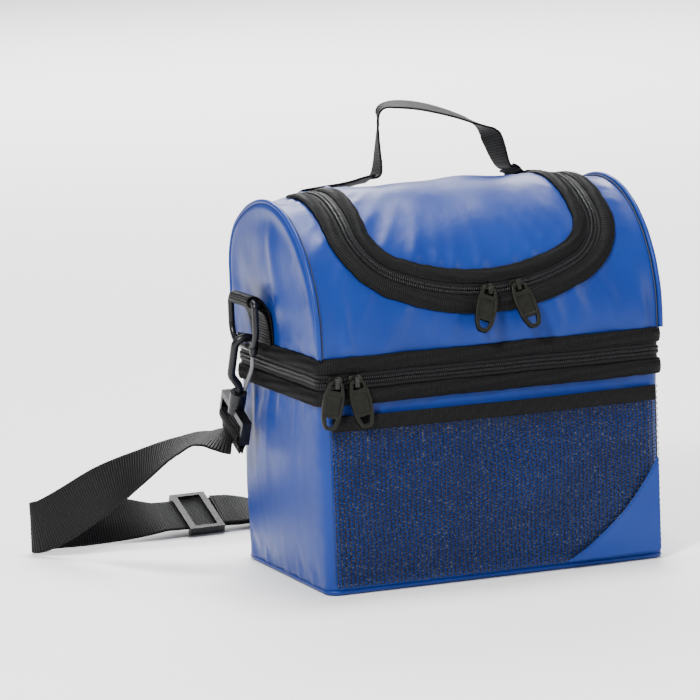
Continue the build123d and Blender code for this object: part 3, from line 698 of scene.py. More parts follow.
# ---------------------------------------------------------------- upper compartment
def barrel_sheet(name, inside):
    """Part of the barrel's skin: the lid inside the U, or the wrap round it."""
    xs = steps(-WIDTH / 2, WIDTH / 2, 4.0)
    ss = steps(-2.0, S_END, 4.0)
    kept = {}
    points, out, faces, plan = [], [], [], []

    def corner(i, k):
        if (i, k) not in kept:
            kept[(i, k)] = len(points)
            plan.append((xs[k], ss[i]))
            points.append(None)
            out.append(None)
        return kept[(i, k)]

    def wanted(x, s):
        lid = u_offset(x, s) < 0 and s < HINGE_S
        return lid == inside

    for i in range(len(ss) - 1):
        for k in range(len(xs) - 1):
            if wanted((xs[k] + xs[k + 1]) / 2, (ss[i] + ss[i + 1]) / 2):
                faces.append((corner(i, k), corner(i, k + 1), corner(i + 1, k + 1), corner(i + 1, k)))
    margin = LID_ZIP + 2.5
    sign = -1 if inside else 1
    for index, (x, s) in enumerate(plan):
        d = u_offset(x, s)
        # The cut edge keeps clear of the zipper and lies under the binding tape.
        if s < HINGE_S + 6 and sign * d < margin and abs(d) < 12:
            step = sign * margin - d
            gx = (u_offset(x + 0.5, s) - u_offset(x - 0.5, s))
            gs = (u_offset(x, s + 0.5) - u_offset(x, s - 0.5))
            norm = max(1e-6, math.hypot(gx, gs))
            x, s = x + gx / norm * step, s + gs / norm * step
        plan[index] = (x, s)
        _, _, ny, nz = section_point(s)
        points[index] = on_barrel(x, s, sheet_relief(x, s))
        out[index] = (0, ny, nz)
    sheet = piece(name, points, faces, BLUE)
    pinned = []
    for index, (x, s) in enumerate(plan):
        d = u_offset(x, s)
        near = abs(d) < LID_ZIP + LID_TAPE and s < HINGE_S + 4
        edge = abs(x) > WIDTH / 2 - 3 or s < 3 or s > S_END - 3
        seam = abs(s - HINGE_S) < 3
        if near or edge or seam:
            pinned.append(index)
    settle(sheet, pinned, np.array(out, float), 1.2, 0.014, 0.9, 0.3)
    finish_skin(sheet, 1.0)
    return sheet


def sheet_relief(x, s):
    """Puckers that run up from the band and in from the binding tape."""
    d = abs(u_offset(x, s))
    calm = ease(d, LID_ZIP + LID_TAPE - 2, LID_ZIP + LID_TAPE + 5)
    if s > HINGE_S:
        calm = 1.0
    edge = ease(WIDTH / 2 - abs(x), 0, 14)
    near_band = math.exp(-max(0.0, s) / 21) * ease(s, -1, 5)
    pucker = 4.6 * near_band * gathers(x + 0.5 * s * ripple(x, 0, 30), s, 25, 2.4)
    along = math.copysign(U_BOTTOM_R * math.atan2(abs(x), max(1.0, U_CENTRE_S - s)), x)
    seam = 3.4 * math.exp(-max(0.0, d - 16) / 15) * gathers(along, d, 21, 8.2)
    broad = 2.6 * ripple(x, s, 38, 4.6)
    return (pucker + (seam + broad) * calm) * edge


def end_lift(y, z):
    """How far an end panel bulges, with one soft crease down it."""
    across = max(0.0, 1 - (y / (DEPTH / 2)) ** 2)
    up = ease(z, BAND_TOP, BAND_TOP + 30) * (1 - ease(z, CREST_Z - 30, CREST_Z))
    tab = 1 - 0.75 * ease(STRAP_WIDTH / 2 + 14 - abs(y - SIDE_Y), 0, 12) * (1 - ease(z, 196, 214))
    crease = 1.8 * math.exp(-((y + 22 - (z - 200) * 0.35) / 7) ** 2) * ease(z, 185, 205)
    return (4.5 * across * up + crease * up + 1.2 * ripple(y, z, 26, 9.0) * up) * tab


def end_panel(side, name):
    """End of the barrel, on rings that shrink towards its middle."""
    centre_y, centre_z = 0.0, 205.0
    around = steps(0, S_END, 5)
    foot = steps(DEPTH / 2, -DEPTH / 2, 6)[1:-1]
    rim = [section_point(s)[:2] for s in around] + [(y, BAND_TOP - 2) for y in foot]
    shares = [1.0, 0.985, 0.95, 0.9, 0.82, 0.74, 0.66, 0.58, 0.5, 0.42, 0.34, 0.26, 0.18, 0.1]
    points = []
    for share in shares:
        for y, z in rim:
            py = centre_y + (y - centre_y) * share
            pz = centre_z + (z - centre_z) * share
            # A soft fold runs beside the piping.
            fold = 1.6 * math.exp(-((share - 0.93) / 0.03) ** 2) * ease(pz, BAND_TOP, BAND_TOP + 20)
            points.append((side * (WIDTH / 2 + 0.3 + end_lift(py, pz) * (1 - share ** 4) + fold), py, pz))
    points.append((side * (WIDTH / 2 + 0.3 + end_lift(centre_y, centre_z)), centre_y, centre_z))
    columns = len(rim)
    faces = grid_faces(len(shares), columns, wrap=True)
    last = (len(shares) - 1) * columns
    faces += [(last + k, last + (k + 1) % columns, len(points) - 1) for k in range(columns)]
    if side < 0:
        faces = [tuple(reversed(f)) for f in faces]
    panel = piece(name + "_end", points, faces, BLUE)
    pinned = list(range(2 * columns))
    out = np.tile(np.array([[side, 0.0, 0.0]]), (len(points), 1))
    settle(panel, pinned, out, 0.8, 0.01, 1.5, 0.8)
    finish_skin(panel, 1.0)
    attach(panel, "upper_body")
    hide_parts(name + "_end_panel", name + "_end_foam")
    return panel


def edge_piping(side, name):
    """Piping round the edge of the barrel, with the slight waver of a sewn cord."""
    def place(s, across, out):
        y, z, ny, nz = section_point(s)
        lift = 1.3 + out + 0.25 * ripple(s, 0, 11, 6.0)
        return side * (WIDTH / 2 + 0.9 + across), y + ny * lift, z + nz * lift
    points, faces, uvs = tube(place, steps(0, S_END, 3), circle(1.7))
    piece(name + "_edge_piping", points, faces, BLUE, "upper_body", uvs, (name + "_piping",))
    # The stitched groove beside it.
    points, faces, uvs = tube(lambda s, across, out: place(s, across - 2.5, out - 0.6), steps(0, S_END, 3),
                              circle(0.55, 6))
    piece(name + "_edge_seam", points, faces, THREAD, "upper_body", uvs)


def upper_lining():
    """Silvered film inside the barrel, open at the U, and the divider floor."""
    inset = WALL + 0.5
    xs = steps(-WIDTH / 2 + inset, WIDTH / 2 - inset, 6)
    ss = steps(1.5, S_END - 1.5, 6)
    points, faces, index = [], [], {}
    lid_points, lid_faces, lid_index = [], [], {}

    def corner(store, where, i, k):
        if (i, k) not in where:
            where[(i, k)] = len(store)
            x, s = xs[k], ss[i]
            store.append(on_barrel(x, s, -inset - 0.6 * ripple(x, s, 20, 2.0)))
        return where[(i, k)]

    for i in range(len(ss) - 1):
        for k in range(len(xs) - 1):
            x, s = (xs[k] + xs[k + 1]) / 2, (ss[i] + ss[i + 1]) / 2
            lid = u_offset(x, s) < -5 and s < HINGE_S
            store, where, made = (lid_points, lid_index, lid_faces) if lid else (points, index, faces)
            if lid or u_offset(x, s) > 5 or s > HINGE_S:
                ring = [(i, k), (i, k + 1), (i + 1, k + 1), (i + 1, k)]
                made.append(tuple(corner(store, where, a, b) for a, b in reversed(ring)))
    film("upper_lining", points, faces, 0.5, "upper_body", ("upper_liner",))
    film("lid_lining", lid_points, lid_faces, 0.5, "lid", ("lid_liner",))
    for side, name in ((-1, "left"), (1, "right")):
        rim = [section_point(s) for s in ss]
        wall = [(side * (WIDTH / 2 - inset), y - ny * inset, z - nz * inset) for y, z, ny, nz in rim]
        wall.append((side * (WIDTH / 2 - inset), 0, 200))
        fan = [(k, k + 1, len(wall) - 1) for k in range(len(wall) - 2)]
        fan.append((len(wall) - 2, 0, len(wall) - 1))
        if side > 0:
            fan = [tuple(reversed(f)) for f in fan]
        film(name + "_end_lining", wall, fan, 0.5, "upper_body", smooth=False)


def floor_panel():
    """Padded floor between the two compartments, silvered on top and underneath."""
    half_x, half_y = WIDTH / 2 - 1.5, DEPTH / 2 - 1.5
    xs, ys = steps(-half_x, half_x, 7), steps(-half_y, half_y, 7)
    for name, z, sign in (("floor_top", BAND_TOP - 0.5, 1), ("floor_under", PART_Z + 1.6, -1)):
        points = []
        for y in ys:
            for x in xs:
                edge = ease(half_x - abs(x), 0, 18) * ease(half_y - abs(y), 0, 18)
                corner = REAR_R if y > 0 else FRONT_R
                over = max(0, abs(x) - (half_x - corner)), max(0, abs(y) - (half_y - corner))
                far = math.hypot(*over)
                pull = min(1.0, corner / far) if far > 0 else 1.0
                px = math.copysign(abs(x) - over[0] * (1 - pull), x)
                py = math.copysign(abs(y) - over[1] * (1 - pull), y)
                points.append((px, py, z + sign * (1.0 + ripple(x, y, 26, 3.3)) * 0.5 * edge))
        faces = grid_faces(len(ys), len(xs))
        if sign < 0:
            faces = [tuple(reversed(f)) for f in faces]
        film(name, points, faces, 1.0, "upper_body", ("divider_floor",) if sign > 0 else ())


# ---------------------------------------------------------------- tapes and zippers
def tape_section(width, high, flip=1):
    """Rounded tape with a groove along each edge where it is stitched."""
    rows = [(0, 0.05), (0.02, 0.6), (0.10, 0.88), (0.15, 0.74), (0.20, 0.95), (0.5, 1.05),
            (0.80, 0.95), (0.85, 0.74), (0.90, 0.88), (0.98, 0.6), (1, 0.05)]
    top = [(flip * share * width, out * high) for share, out in rows]
    return top + [(flip * width * 0.5, -0.2)]


def ribbed(place, pitch, depth, slant, waver=0.0):
    """The same placing with ribs on whatever stands proud, and an edge that wavers."""
    def ribs(station, across, out):
        wave = math.sin(2 * math.pi * (station + slant * across) / pitch)
        grown = out + depth * wave * (1 if out > 0.9 else 0)
        grown += waver * 0.6 * ripple(station, across, 9, 3.0) * (1 if out > 0.5 else 0)
        return place(station, across + waver * ripple(station, across * 0.3, 7, 5.0), grown)
    return ribs


def on_band(base_z, lift):
    def place(station, across, out):
        x, y, nx, ny = plan_point(station)
        wave = 0.45 * ripple(station, base_z, 24, 1.7)
        grow = lift + out
        return x + nx * grow, y + ny * grow, base_z + across + wave
    return place


RIB = 1.35


def binding_tapes():
    band = steps(OPEN_START, OPEN_STOP, RIB / 4)
    tall = BAND_HALF - ZIP_HALF
    for name, z, body, nodes in (
            ("lower_binding", BAND_LOW, "root", ("lower_binding_tape",)),
            ("upper_binding", PART_Z + ZIP_HALF, "upper_body", ("upper_binding_tape", "upper_skirt"))):
        place = ribbed(on_band(z, 1.0), RIB, 0.16, 0.12, 0.35)
        points, faces, uvs = tube(place, band, tape_section(tall, 2.6))
        piece(name, points, [tuple(reversed(f)) for f in faces], TAPE, body, uvs, nodes)
    u_line = steps(-U_REACH, U_REACH, RIB / 4)
    for name, start, flip, body, nodes in (
            ("opening_binding", LID_ZIP, 1, "upper_body", ("opening_binding_tape",)),
            ("lid_binding", -LID_ZIP, -1, "lid", ("lid_binding_tape",))):
        def along_u(station, across, out, start=start):
            return on_u(station, start + across, 0.4 + out)
        section = tape_section(LID_TAPE, 2.3, flip)
        points, faces, uvs = tube(ribbed(along_u, RIB, 0.16, 0.12, 0.55), u_line, section)
        if flip > 0:
            faces = [tuple(reversed(f)) for f in faces]
        piece(name, points, faces, TAPE, body, uvs, nodes)


def rear_strip():
    """Flat tape across the back, which is the upper section's hinge, and the band behind it."""
    def place(station, across, out):
        return station, DEPTH / 2 + 0.6 + out, BAND_LOW + across
    half = OPEN_START + 3
    rows = steps(0, 2 * BAND_HALF, 2)
    section = [(a, 0.9) for a in rows] + [(a, -1.0) for a in reversed(rows)]
    points, faces, uvs = tube(place, steps(-half, half, 6), section)
    strip = piece("rear_hinge_tape", points, faces, TAPE, None, uvs, ("rear_hinge_strip",))
    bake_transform(strip)


TOOTH_PITCH = 1.5


def teeth(place, start, stop, sign):
    """One side of a coil: a row of small rounded teeth that reach the meeting line."""
    shape = [(-0.42, 0.0), (-0.30, 0.85), (0.30, 0.85), (0.42, 0.0)]
    reach = [(0.15, 0.72), (0.9, 1.0), (2.1, 1.0), (2.7, 0.5)]
    points, faces = [], []
    count = int((stop - start) / TOOTH_PITCH)
    shift = 0.0 if sign > 0 else TOOTH_PITCH / 2
    for tooth in range(count):
        middle = start + shift + tooth * TOOTH_PITCH
        first = len(points)
        for across, swell in reach:
            for along, out in shape:
                points.append(place(middle + along * swell, sign * across, out * swell * 1.15))
        faces += grid_faces(4, 4, True, first)
        faces.append((first + 3, first + 2, first + 1, first))
        faces.append(tuple(first + 12 + k for k in range(4)))
    return points, faces


def zippers():
    tape = [(0.1, 0), (ZIP_HALF + 1, 0), (ZIP_HALF + 1, 0.9), (4.3, 1.15), (3.6, 0.9), (0.1, 0.9)]
    band = steps(OPEN_START, OPEN_STOP, 2)
    for name, sign, body, node in (
            ("main_zip_lower", -1, "root", "main_zipper_lower_half"),
            ("main_zip_upper", 1, "upper_body", "main_zipper_upper_half")):
        place = on_band(PART_Z, 0.2)
        points, faces, uvs = tube(place, band, [(sign * a, o) for a, o in tape])
        piece(name + "_tape", points, faces, ZIP_TAPE, body, uvs, (node,))
        points, faces = teeth(on_band(PART_Z, 1.3), OPEN_START, OPEN_STOP, sign)
        piece(name + "_coil", points, faces, COIL, body)
    u_line = steps(-U_REACH, U_REACH, 2)
    for name, sign, body, node in (
            ("lid_zip_body", 1, "upper_body", "lid_zipper_body_half"),
            ("lid_zip_lid", -1, "lid", "lid_zipper_lid_half")):
        def place(station, across, out):
            return on_u(station, across, 0.2 + out)

        def coil_place(station, across, out):
            return on_u(station, across, 1.2 + out)
        wide = [(min(a, LID_ZIP + 1), o) for a, o in tape]
        points, faces, uvs = tube(place, u_line, [(sign * a, o) for a, o in wide])
        piece(name + "_tape", points, faces, ZIP_TAPE, body, uvs, (node,))
        points, faces = teeth(coil_place, -U_REACH, U_REACH, sign)
        piece(name + "_coil", points, faces, COIL, body)


def mouth_rims():
    """Black tape folded over each mouth, from the outer fabric to the lining."""
    around = steps(0, PLAN_LENGTH, 5)[:-1]
    rims = (("lower_rim", PART_Z - 0.6, -1, "root"), ("upper_rim", PART_Z + 0.6, 1, "upper_body"))
    for name, z, sign, body in rims:
        section = [(0.4, 0), (-WALL - 0.8, 0), (-WALL - 0.8, sign * 3), (0.4, sign * 3)]

        def place(station, across, out):
            x, y, nx, ny = plan_point(station)
            return x + nx * across, y + ny * across, z + out
        points, faces, uvs = tube(place, around, section, closed=True)
        piece(name, points, faces, TAPE, body, uvs)


def lid_rims():
    """Black tape folded over the cut edges of the lid and of its opening, down to the lining."""
    for name, sign, body in (("opening_rim", 1, "upper_body"), ("lid_rim", -1, "lid")):
        section = [(sign * 2.5, 0.0), (sign * 2.5, -WALL - 1.0), (sign * 6.5, -WALL - 1.0), (sign * 6.5, 0.0)]
        points, faces, uvs = tube(on_u, steps(-U_REACH, U_REACH, 3), section)
        piece(name, points, faces, TAPE, body, uvs)


# ---------------------------------------------------------------- mesh pocket
POCKET_HALF = WIDTH / 2 - 6.0
POCKET_LOW = 6.0
POCKET_TOP = 127.0
POCKET_BIND = 11.0
NET_CORNER_X, NET_CORNER_Z, NET_CORNER_R = -16.0, 152.0, 160.0
PATCH_TOP = NET_CORNER_Z - math.sqrt(NET_CORNER_R ** 2 - (POCKET_HALF - NET_CORNER_X) ** 2)


def pocket_y(x, z, lift=0.0):
    """Front surface of the pocket: bowed out, with the long slack folds of a loose net."""
    bow = 5.4 * (1 - (x / POCKET_HALF) ** 2) * (0.55 + 0.45 * ease(z, POCKET_LOW, 60))
    slack = ripple(x * 0.7 + z * 0.5, z - 0.4 * x, 42, 1.1) * 6.0
    slack *= ease(POCKET_HALF - abs(x), 0, 18) * ease(z, POCKET_LOW, 24) * (1 - ease(z, 98, 116))
    return -DEPTH / 2 - max(3.6, 3.2 + bow + slack) - lift


def in_patch(x, z):
    """Outside the net's rounded corner."""
    return x > 0 and math.hypot(x - NET_CORNER_X, z - NET_CORNER_Z) > NET_CORNER_R


def net_edge(z):
    """X of the net's rounded corner at a height."""
    return NET_CORNER_X + math.sqrt(NET_CORNER_R ** 2 - (z - NET_CORNER_Z) ** 2)


COLUMN_PITCH = 3.1
ROW_PITCH = 2.5
COLUMN_WIDE = 1.0
TIE_WIDE = 0.7


def net():
    """Warp-knitted net: upright columns tied by short threads that are staggered."""
    points, faces = [], []

    def thread_between(a, b, wide, lift):
        dx, dz = b[0] - a[0], b[1] - a[1]
        run = math.hypot(dx, dz)
        px, pz = -dz / run * wide / 2, dx / run * wide / 2
        first = len(points)
        for x, z in (a, b):
            for sign, out in ((-1, 0.0), (0, 0.45), (1, 0.0), (0, -0.2)):
                sx, sz = x + sign * px, z + sign * pz
                points.append((sx, pocket_y(sx, sz, lift + out), sz))
        faces.extend(grid_faces(2, 4, True, first))
        faces.append((first + 3, first + 2, first + 1, first))
        faces.append((first + 4, first + 5, first + 6, first + 7))

    columns = int(2 * POCKET_HALF / COLUMN_PITCH)
    low, high = POCKET_LOW, POCKET_TOP - 3
    rows = int((high - low) / ROW_PITCH)
    for column in range(columns + 1):
        x = -POCKET_HALF + column * 2 * POCKET_HALF / columns
        step = 2 * POCKET_HALF / columns
        for row in range(rows):
            z = low + row * ROW_PITCH
            if in_patch(x - 4, z + 4):
                continue
            # Each column leans one way, then the other, from tie to tie.
            sway = 0.30 if (row + column) % 2 else -0.30
            thread_between((x - sway, z), (x + sway, z + ROW_PITCH), COLUMN_WIDE, 0)
            if column < columns:
                tie = z + (ROW_PITCH / 2 if column % 2 else 0)
                thread_between((x, tie), (x + step, tie + 0.5), TIE_WIDE, -0.1)
    piece("pocket_net", points, faces, NET, "root", nodes=("mesh_pocket",))


def pocket():
    net()
    section = tape_section(POCKET_BIND, 1.2)

    def place(station, across, out):
        z = POCKET_TOP - POCKET_BIND + across
        return station, pocket_y(station, z, out - 0.2), z + 0.5 * ripple(station, 0, 40, 2.2)
    points, faces, uvs = tube(ribbed(place, 1.5, 0.12, 0.0), steps(-POCKET_HALF, POCKET_HALF, 0.4), section)
    piece("pocket_top_binding", points, faces, TAPE, "root", uvs, ("pocket_binding",))
    # Corner panel: rows between the curved edge and the pocket's outer corner.
    rows, columns = 22, 24
    points = []
    for i in range(rows):
        z = POCKET_LOW + (PATCH_TOP - POCKET_LOW) * i / (rows - 1)
        edge = net_edge(z)
        for k in range(columns):
            x = edge + (POCKET_HALF + 1 - edge) * k / (columns - 1)
            roll = 0.5 * math.exp(-(x - edge) / 1.2)
            points.append((x, pocket_y(x, z, 0.9 + 0.4 * ripple(x, z, 18, 5.5) - roll), z))
    patch = piece("pocket_corner", points, grid_faces(rows, columns), BLUE)
    finish_skin(patch, 0.8)
    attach(patch, "root")
    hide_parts("pocket_corner_panel")


def stitches(name, spots, long, thick, material, body):
    """Running stitch: short raised threads between neighbouring pairs of points."""
    points, faces = [], []
    for a, b in spots:
        a, b = Vector(a), Vector(b)
        run = (b - a).normalized()
        side = run.cross(Vector((0, -1, 0)) if abs(run.y) < 0.8 else Vector((1, 0, 0))).normalized()
        out = side.cross(run).normalized()
        a, b = (a + b) / 2 - run * long / 2, (a + b) / 2 + run * long / 2
        first = len(points)
        for share, size in ((0, 0.3), (0.2, 1), (0.8, 1), (1, 0.3)):
            middle = a.lerp(b, share)
            for c, s in circle(thick * size, 6):
                points.append(tuple(middle + side * c + out * s))
        faces += grid_faces(4, 6, True, first)
        faces.append(tuple(first + k for k in range(5, -1, -1)))
        faces.append(tuple(first + 18 + k for k in range(6)))
    piece(name, points, faces, material, body)


def seam_stitches():
    spots = []
    for x in (-POCKET_HALF - 1.2, POCKET_HALF + 1.2):
        rows = steps(8, BAND_LOW - 6, 4.2)
        for a, b in zip(rows, rows[1:]):
            y = -DEPTH / 2 - 0.7 if x < 0 else pocket_y(POCKET_HALF, a, 0.3)
            spots.append(((x, y, a), (x, y, b)))
    stitches("seam_stitching", spots, 2.6, 0.32, THREAD, "root")
    spots = []
    rows = steps(POCKET_LOW + 1, PATCH_TOP - 1, 3.0)
    for a, b in zip(rows, rows[1:]):
        ends = []
        for z in (a, b):
            x = net_edge(z) + 1.6
            ends.append((x, pocket_y(x, z, 1.3), z))
        spots.append(tuple(ends))
    stitches("corner_stitching", spots, 2.0, 0.2, THREAD, "root")


# ---------------------------------------------------------------- webbing
def web_section(width, thick, ridges):
    """Webbing's section: flat, round edged and ridged along its length."""
    half, tall = width / 2, thick / 2
    top = []
    for i in range(2 * ridges + 1):
        a = -half + 0.5 + (width - 1.0) * i / (2 * ridges)
        top.append((a, tall * (1.0 if i % 2 else 0.82)))
    under = [(a, -o) for a, o in reversed(top)]
    return [(-half, 0)] + top + [(half, 0)] + under


def curve_mesh(name, curve):
    """Mesh of a curve."""
    holder = bpy.data.objects.new(name, curve)
    bpy.context.scene.collection.objects.link(holder)
    bpy.context.view_layer.update()
    mesh = bpy.data.meshes.new_from_object(holder.evaluated_get(bpy.context.evaluated_depsgraph_get()))
    bpy.data.objects.remove(holder)
    return mesh


def spline_points(route, name):
    """Points along the smooth NURBS line of a route, in millimetres."""
    curve = bpy.data.curves.new(name, "CURVE")
    curve.dimensions = "3D"
    curve.resolution_u = 10
    spline = curve.splines.new("NURBS")
    spline.points.add(len(route) - 1)
    for point, spot in zip(spline.points, route):
        point.co = (spot[0] * MM, spot[1] * MM, spot[2] * MM, 1)
    spline.order_u = 3
    spline.use_endpoint_u = True
    return [Vector(v.co) / MM for v in curve_mesh(name, curve).vertices]


def frames_along(line, across_at, spacing):
    """Evenly spaced places on a line: position, width direction, face direction, distance."""
    lengths = [0.0]
    for a, b in zip(line, line[1:]):
        lengths.append(lengths[-1] + (b - a).length)
    made = []
    at = 0
    for distance in steps(0, lengths[-1], spacing):
        while at < len(line) - 2 and lengths[at + 1] < distance:
            at += 1
        share = (distance - lengths[at]) / max(1e-9, lengths[at + 1] - lengths[at])
        spot = line[at].lerp(line[at + 1], min(1, max(0, share)))
        low, high = max(0, at - 1), min(len(line) - 1, at + 2)
        run = (line[high] - line[low]).normalized()
        across = across_at(distance / lengths[-1])
        across = (across - run * across.dot(run)).normalized()
        made.append((spot, across, run.cross(across), distance))
    return made


def webbing(name, frames, width, thick, ridges, body=None, nodes=(), lift=0.0):
    section = web_section(width, thick, ridges)

    def place(index, across, out):
        spot, side, face, _ = frames[index]
        return tuple(spot + side * across + face * (out + lift))
    points, faces, uvs = tube(place, range(len(frames)), section)
    uvs = [(frames[int(u)][3], v) for u, v in uvs]
    return piece(name, points, faces, WEBBING, body, uvs, nodes)


# X and height above the barrel's own line; the loop swings about its level ends.
HANDLE_LEAN = math.radians(8)
LOOP_ROUTE = [(-37, 12.5), (-33, 13), (-30.5, 20), (-29.5, 32), (-27.5, 50), (-25.5, 62), (-16, 65),
              (2, 63.5), (26, 57), (48, 48), (59, 41), (63, 31), (66, 20), (69, 13), (71, 12.5)]
# Share of the loop, with the bearing and the rise of the webbing's width there.
LOOP_TWIST = [(0, 90, -8), (0.12, 78, 0), (0.25, 66, 0), (0.40, 80, 8), (0.55, 90, 12), (0.72, 98, 12),
              (0.84, 112, 6), (0.94, 100, 0), (1, 90, -8)]
FOOT_ROUTES = {
    "left": [(-37, 12.5), (-44, 12), (-58, 8.5)],
    "right": [(71, 12.5), (75, 11), (77, 8)],
}


def loop_width(share):
    for a, b in zip(LOOP_TWIST, LOOP_TWIST[1:]):
        if share <= b[0]:
            mix = (share - a[0]) / (b[0] - a[0])
            return bearing(*a[1:]).lerp(bearing(*b[1:]), mix)
    return bearing(*LOOP_TWIST[-1][1:])


def handle():
    s = rear_s(HANDLE_Y)
    y, z, ny, nz = section_point(s)
    y, z = y + ny, z + nz

    def spot(x, height):
        return (x, y + height * math.sin(HANDLE_LEAN), z + height * math.cos(HANDLE_LEAN))
    line = spline_points([spot(x, h) for x, h in LOOP_ROUTE], "handle_line")
    webbing("handle_webbing", frames_along(line, loop_width, 1.0), 25, 1.7, 9, "handle", ("carry_handle",))
    for name, route in FOOT_ROUTES.items():
        side = -1 if name == "left" else 1
        sewn = [on_barrel(side * x, s, 3.6) for x in (80, 87, 94)]
        line = spline_points([spot(x, h) for x, h in route] + sewn, name + "_foot_line")
        width = Vector((0, nz, -ny))
        webbing("handle_foot_" + name, frames_along(line, lambda share: width, 1.0), 25, 1.7, 9, "upper_body",
                ("handle_anchors",) if side < 0 else ())


# ---------------------------------------------------------------- shoulder strap
# X, Y and Z in metres, then the direction of the width: a bearing from +X and a height above level.
STRAP_ROUTE = [
    (-0.147, 0.053, 0.097, 90, 25), (-0.152, 0.058, 0.0945, 84, 14), (-0.165, 0.07, 0.094, 72, 0),
    (-0.181, 0.086, 0.085, 77, 6), (-0.203, 0.108, 0.068, 92, 20), (-0.226, 0.131, 0.05, 114, 38),
    (-0.246, 0.151, 0.032, 120, 58), (-0.261, 0.167, 0.021, 104, 80), (-0.266, 0.178, 0.0195, 90, 90),
    (-0.259, 0.183, 0.0195, 90, 90), (-0.236, 0.184, 0.0195, 90, 86), (-0.204, 0.19, 0.018, 90, 62),
    (-0.158, 0.194, 0.0132, 90, 24), (-0.098, 0.196, 0.0132, 90, 24), (-0.062, 0.192, 0.006, 90, 8),
    (-0.02, 0.182, 0.0018, 90, 0), (0.026, 0.172, 0.0018, 90, 0), (0.07, 0.172, 0.006, 90, 16),
    (0.112, 0.182, 0.017, 90, 60), (0.152, 0.188, 0.0195, 90, 88), (0.188, 0.176, 0.0195, 90, 90),
    (0.206, 0.148, 0.021, 90, 90), (0.198, 0.116, 0.03, 125, 78), (0.176, 0.09, 0.048, 114, 40),
    (0.153, 0.072, 0.062, 100, 26), (0.147, 0.0614, 0.0772, 90, 25), (0.147, 0.0564, 0.088, 90, 25),
]


def bearing(turn, rise):
    turn, rise = math.radians(turn), math.radians(rise)
    return Vector((math.cos(turn) * math.cos(rise), math.sin(turn) * math.cos(rise), math.sin(rise)))


def strap_width(share):
    """Direction of the strap's width at a share of its length."""
    knots = [0.0]
    for a, b in zip(STRAP_ROUTE, STRAP_ROUTE[1:]):
        knots.append(knots[-1] + math.dist(a[:3], b[:3]))
    spot = min(share, 0.9999) * knots[-1]
    run = max(i for i in range(len(knots) - 1) if knots[i] <= spot)
    mix = (spot - knots[run]) / (knots[run + 1] - knots[run])
    return bearing(*STRAP_ROUTE[run][3:]).lerp(bearing(*STRAP_ROUTE[run + 1][3:]), mix)


def shoulder_strap():
    line = spline_points([[c / MM for c in row[:3]] for row in STRAP_ROUTE], "strap_line")
    places = frames_along(line, strap_width, 2.0)
    strap = webbing("shoulder_webbing", places, STRAP_WIDTH, WEB_THICK, 12, None, ("shoulder_strap",))
    length = places[-1][3]
    glide_x = (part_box("tri_glide")[1].x / MM)
    first = next(i for i, p in enumerate(places) if p[0].x > glide_x and p[3] > length * 0.3)
    tail = webbing("strap_doubled_tail", places[first:-8], STRAP_WIDTH - 0.4, WEB_THICK, 12, None,
                   ("strap_tail",), lift=WEB_THICK + 0.4)
    # Its ends stay with the hooks when the upper section tips back.
    for part in (strap, tail):
        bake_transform(part)


# ---------------------------------------------------------------- side hardware
HOOK_LEAN = math.radians(25)


def side_tab(side, name):
    """Webbing that leaves the end panel, goes over the ring's top bar and comes back."""
    x0 = WIDTH / 2
    profile = [(x0 + 1.5, BAND_TOP - 2), (x0 + 2.2, 178), (x0 + 3.4, 190), (x0 + 9, 200), (RING_X - 2, 203.4),
               (RING_X + 2.6, 202.6), (RING_X + 3.6, 199), (RING_X + 1.5, 195.4), (RING_X - 4, 195),
               (x0 + 7, 190), (x0 + 4.6, 180), (x0 + 3.8, BAND_TOP - 1)]
    line = spline_points([(side * x, SIDE_Y, z) for x, z in profile], name + "_tab_line")
    places = frames_along(line, lambda share: Vector((0, 1, 0)), 1.0)
    webbing(name + "_tab_webbing", places, STRAP_WIDTH, 1.5, 12, "upper_body", (name + "_tab",))


def strap_end(side, name):
    """End of the strap, sewn round the lower bar of the swivel."""
    down = Vector((0, math.sin(HOOK_LEAN), -math.cos(HOOK_LEAN)))
    wide = Vector((0, math.cos(HOOK_LEAN), math.sin(HOOK_LEAN)))
    hang = Vector((side * RING_X, SIDE_Y, 166.0)) - down * -0.5
    thick = Vector((side, 0, 0))
    shape = [(1.0, 80), (1.2, 75), (4.4, 70.5), (5.0, 66), (3.2, 64.4), (0, 64.2), (-3.2, 64.4),
             (-5.0, 66), (-4.4, 70.5), (-1.2, 75), (-1.0, 80)]
    route = [tuple(hang + down * far + thick * off) for off, far in shape]
    line = spline_points(route, name + "_end_line")
    places = frames_along(line, lambda share: wide, 1.0)
    webbing(name + "_strap_end", places, STRAP_WIDTH, 1.5, 12, name + "_swivel", (name + "_strap_loop",))


# ---------------------------------------------------------------- pulls
def spline_outline(curve, points):
    spline = curve.splines.new("POLY")
    spline.points.add(len(points) - 1)
    for point, (x, y) in zip(spline.points, points):
        point.co = (x * MM, y * MM, 0, 1)
    spline.use_cyclic_u = True


def rounded(corners, radius, count=5):
    """Outline with each corner rounded."""
    made = []
    total = len(corners)
    for i, corner in enumerate(corners):
        here = Vector(corner)
        before = (Vector(corners[i - 1]) - here).normalized()
        after = (Vector(corners[(i + 1) % total]) - here).normalized()
        a, b = here + before * radius, here + after * radius
        for k in range(count + 1):
            t = k / count
            spot = a * (1 - t) ** 2 + here * 2 * t * (1 - t) + b * t ** 2
            made.append((spot.x, spot.y))
    return made


def flat_part(name, outlines, thick, edge):
    """Plate from outlines, with holes, and a rounded edge."""
    curve = bpy.data.curves.new(name, "CURVE")
    curve.dimensions = "2D"
    curve.fill_mode = "BOTH"
    curve.extrude = (thick / 2 - edge) * MM
    curve.bevel_depth = edge * MM
    curve.bevel_resolution = 2
    for outline in outlines:
        spline_outline(curve, outline)
    return curve_mesh(name, curve)


PULL_TOP = 1.3
PULL_LONG = 34.0


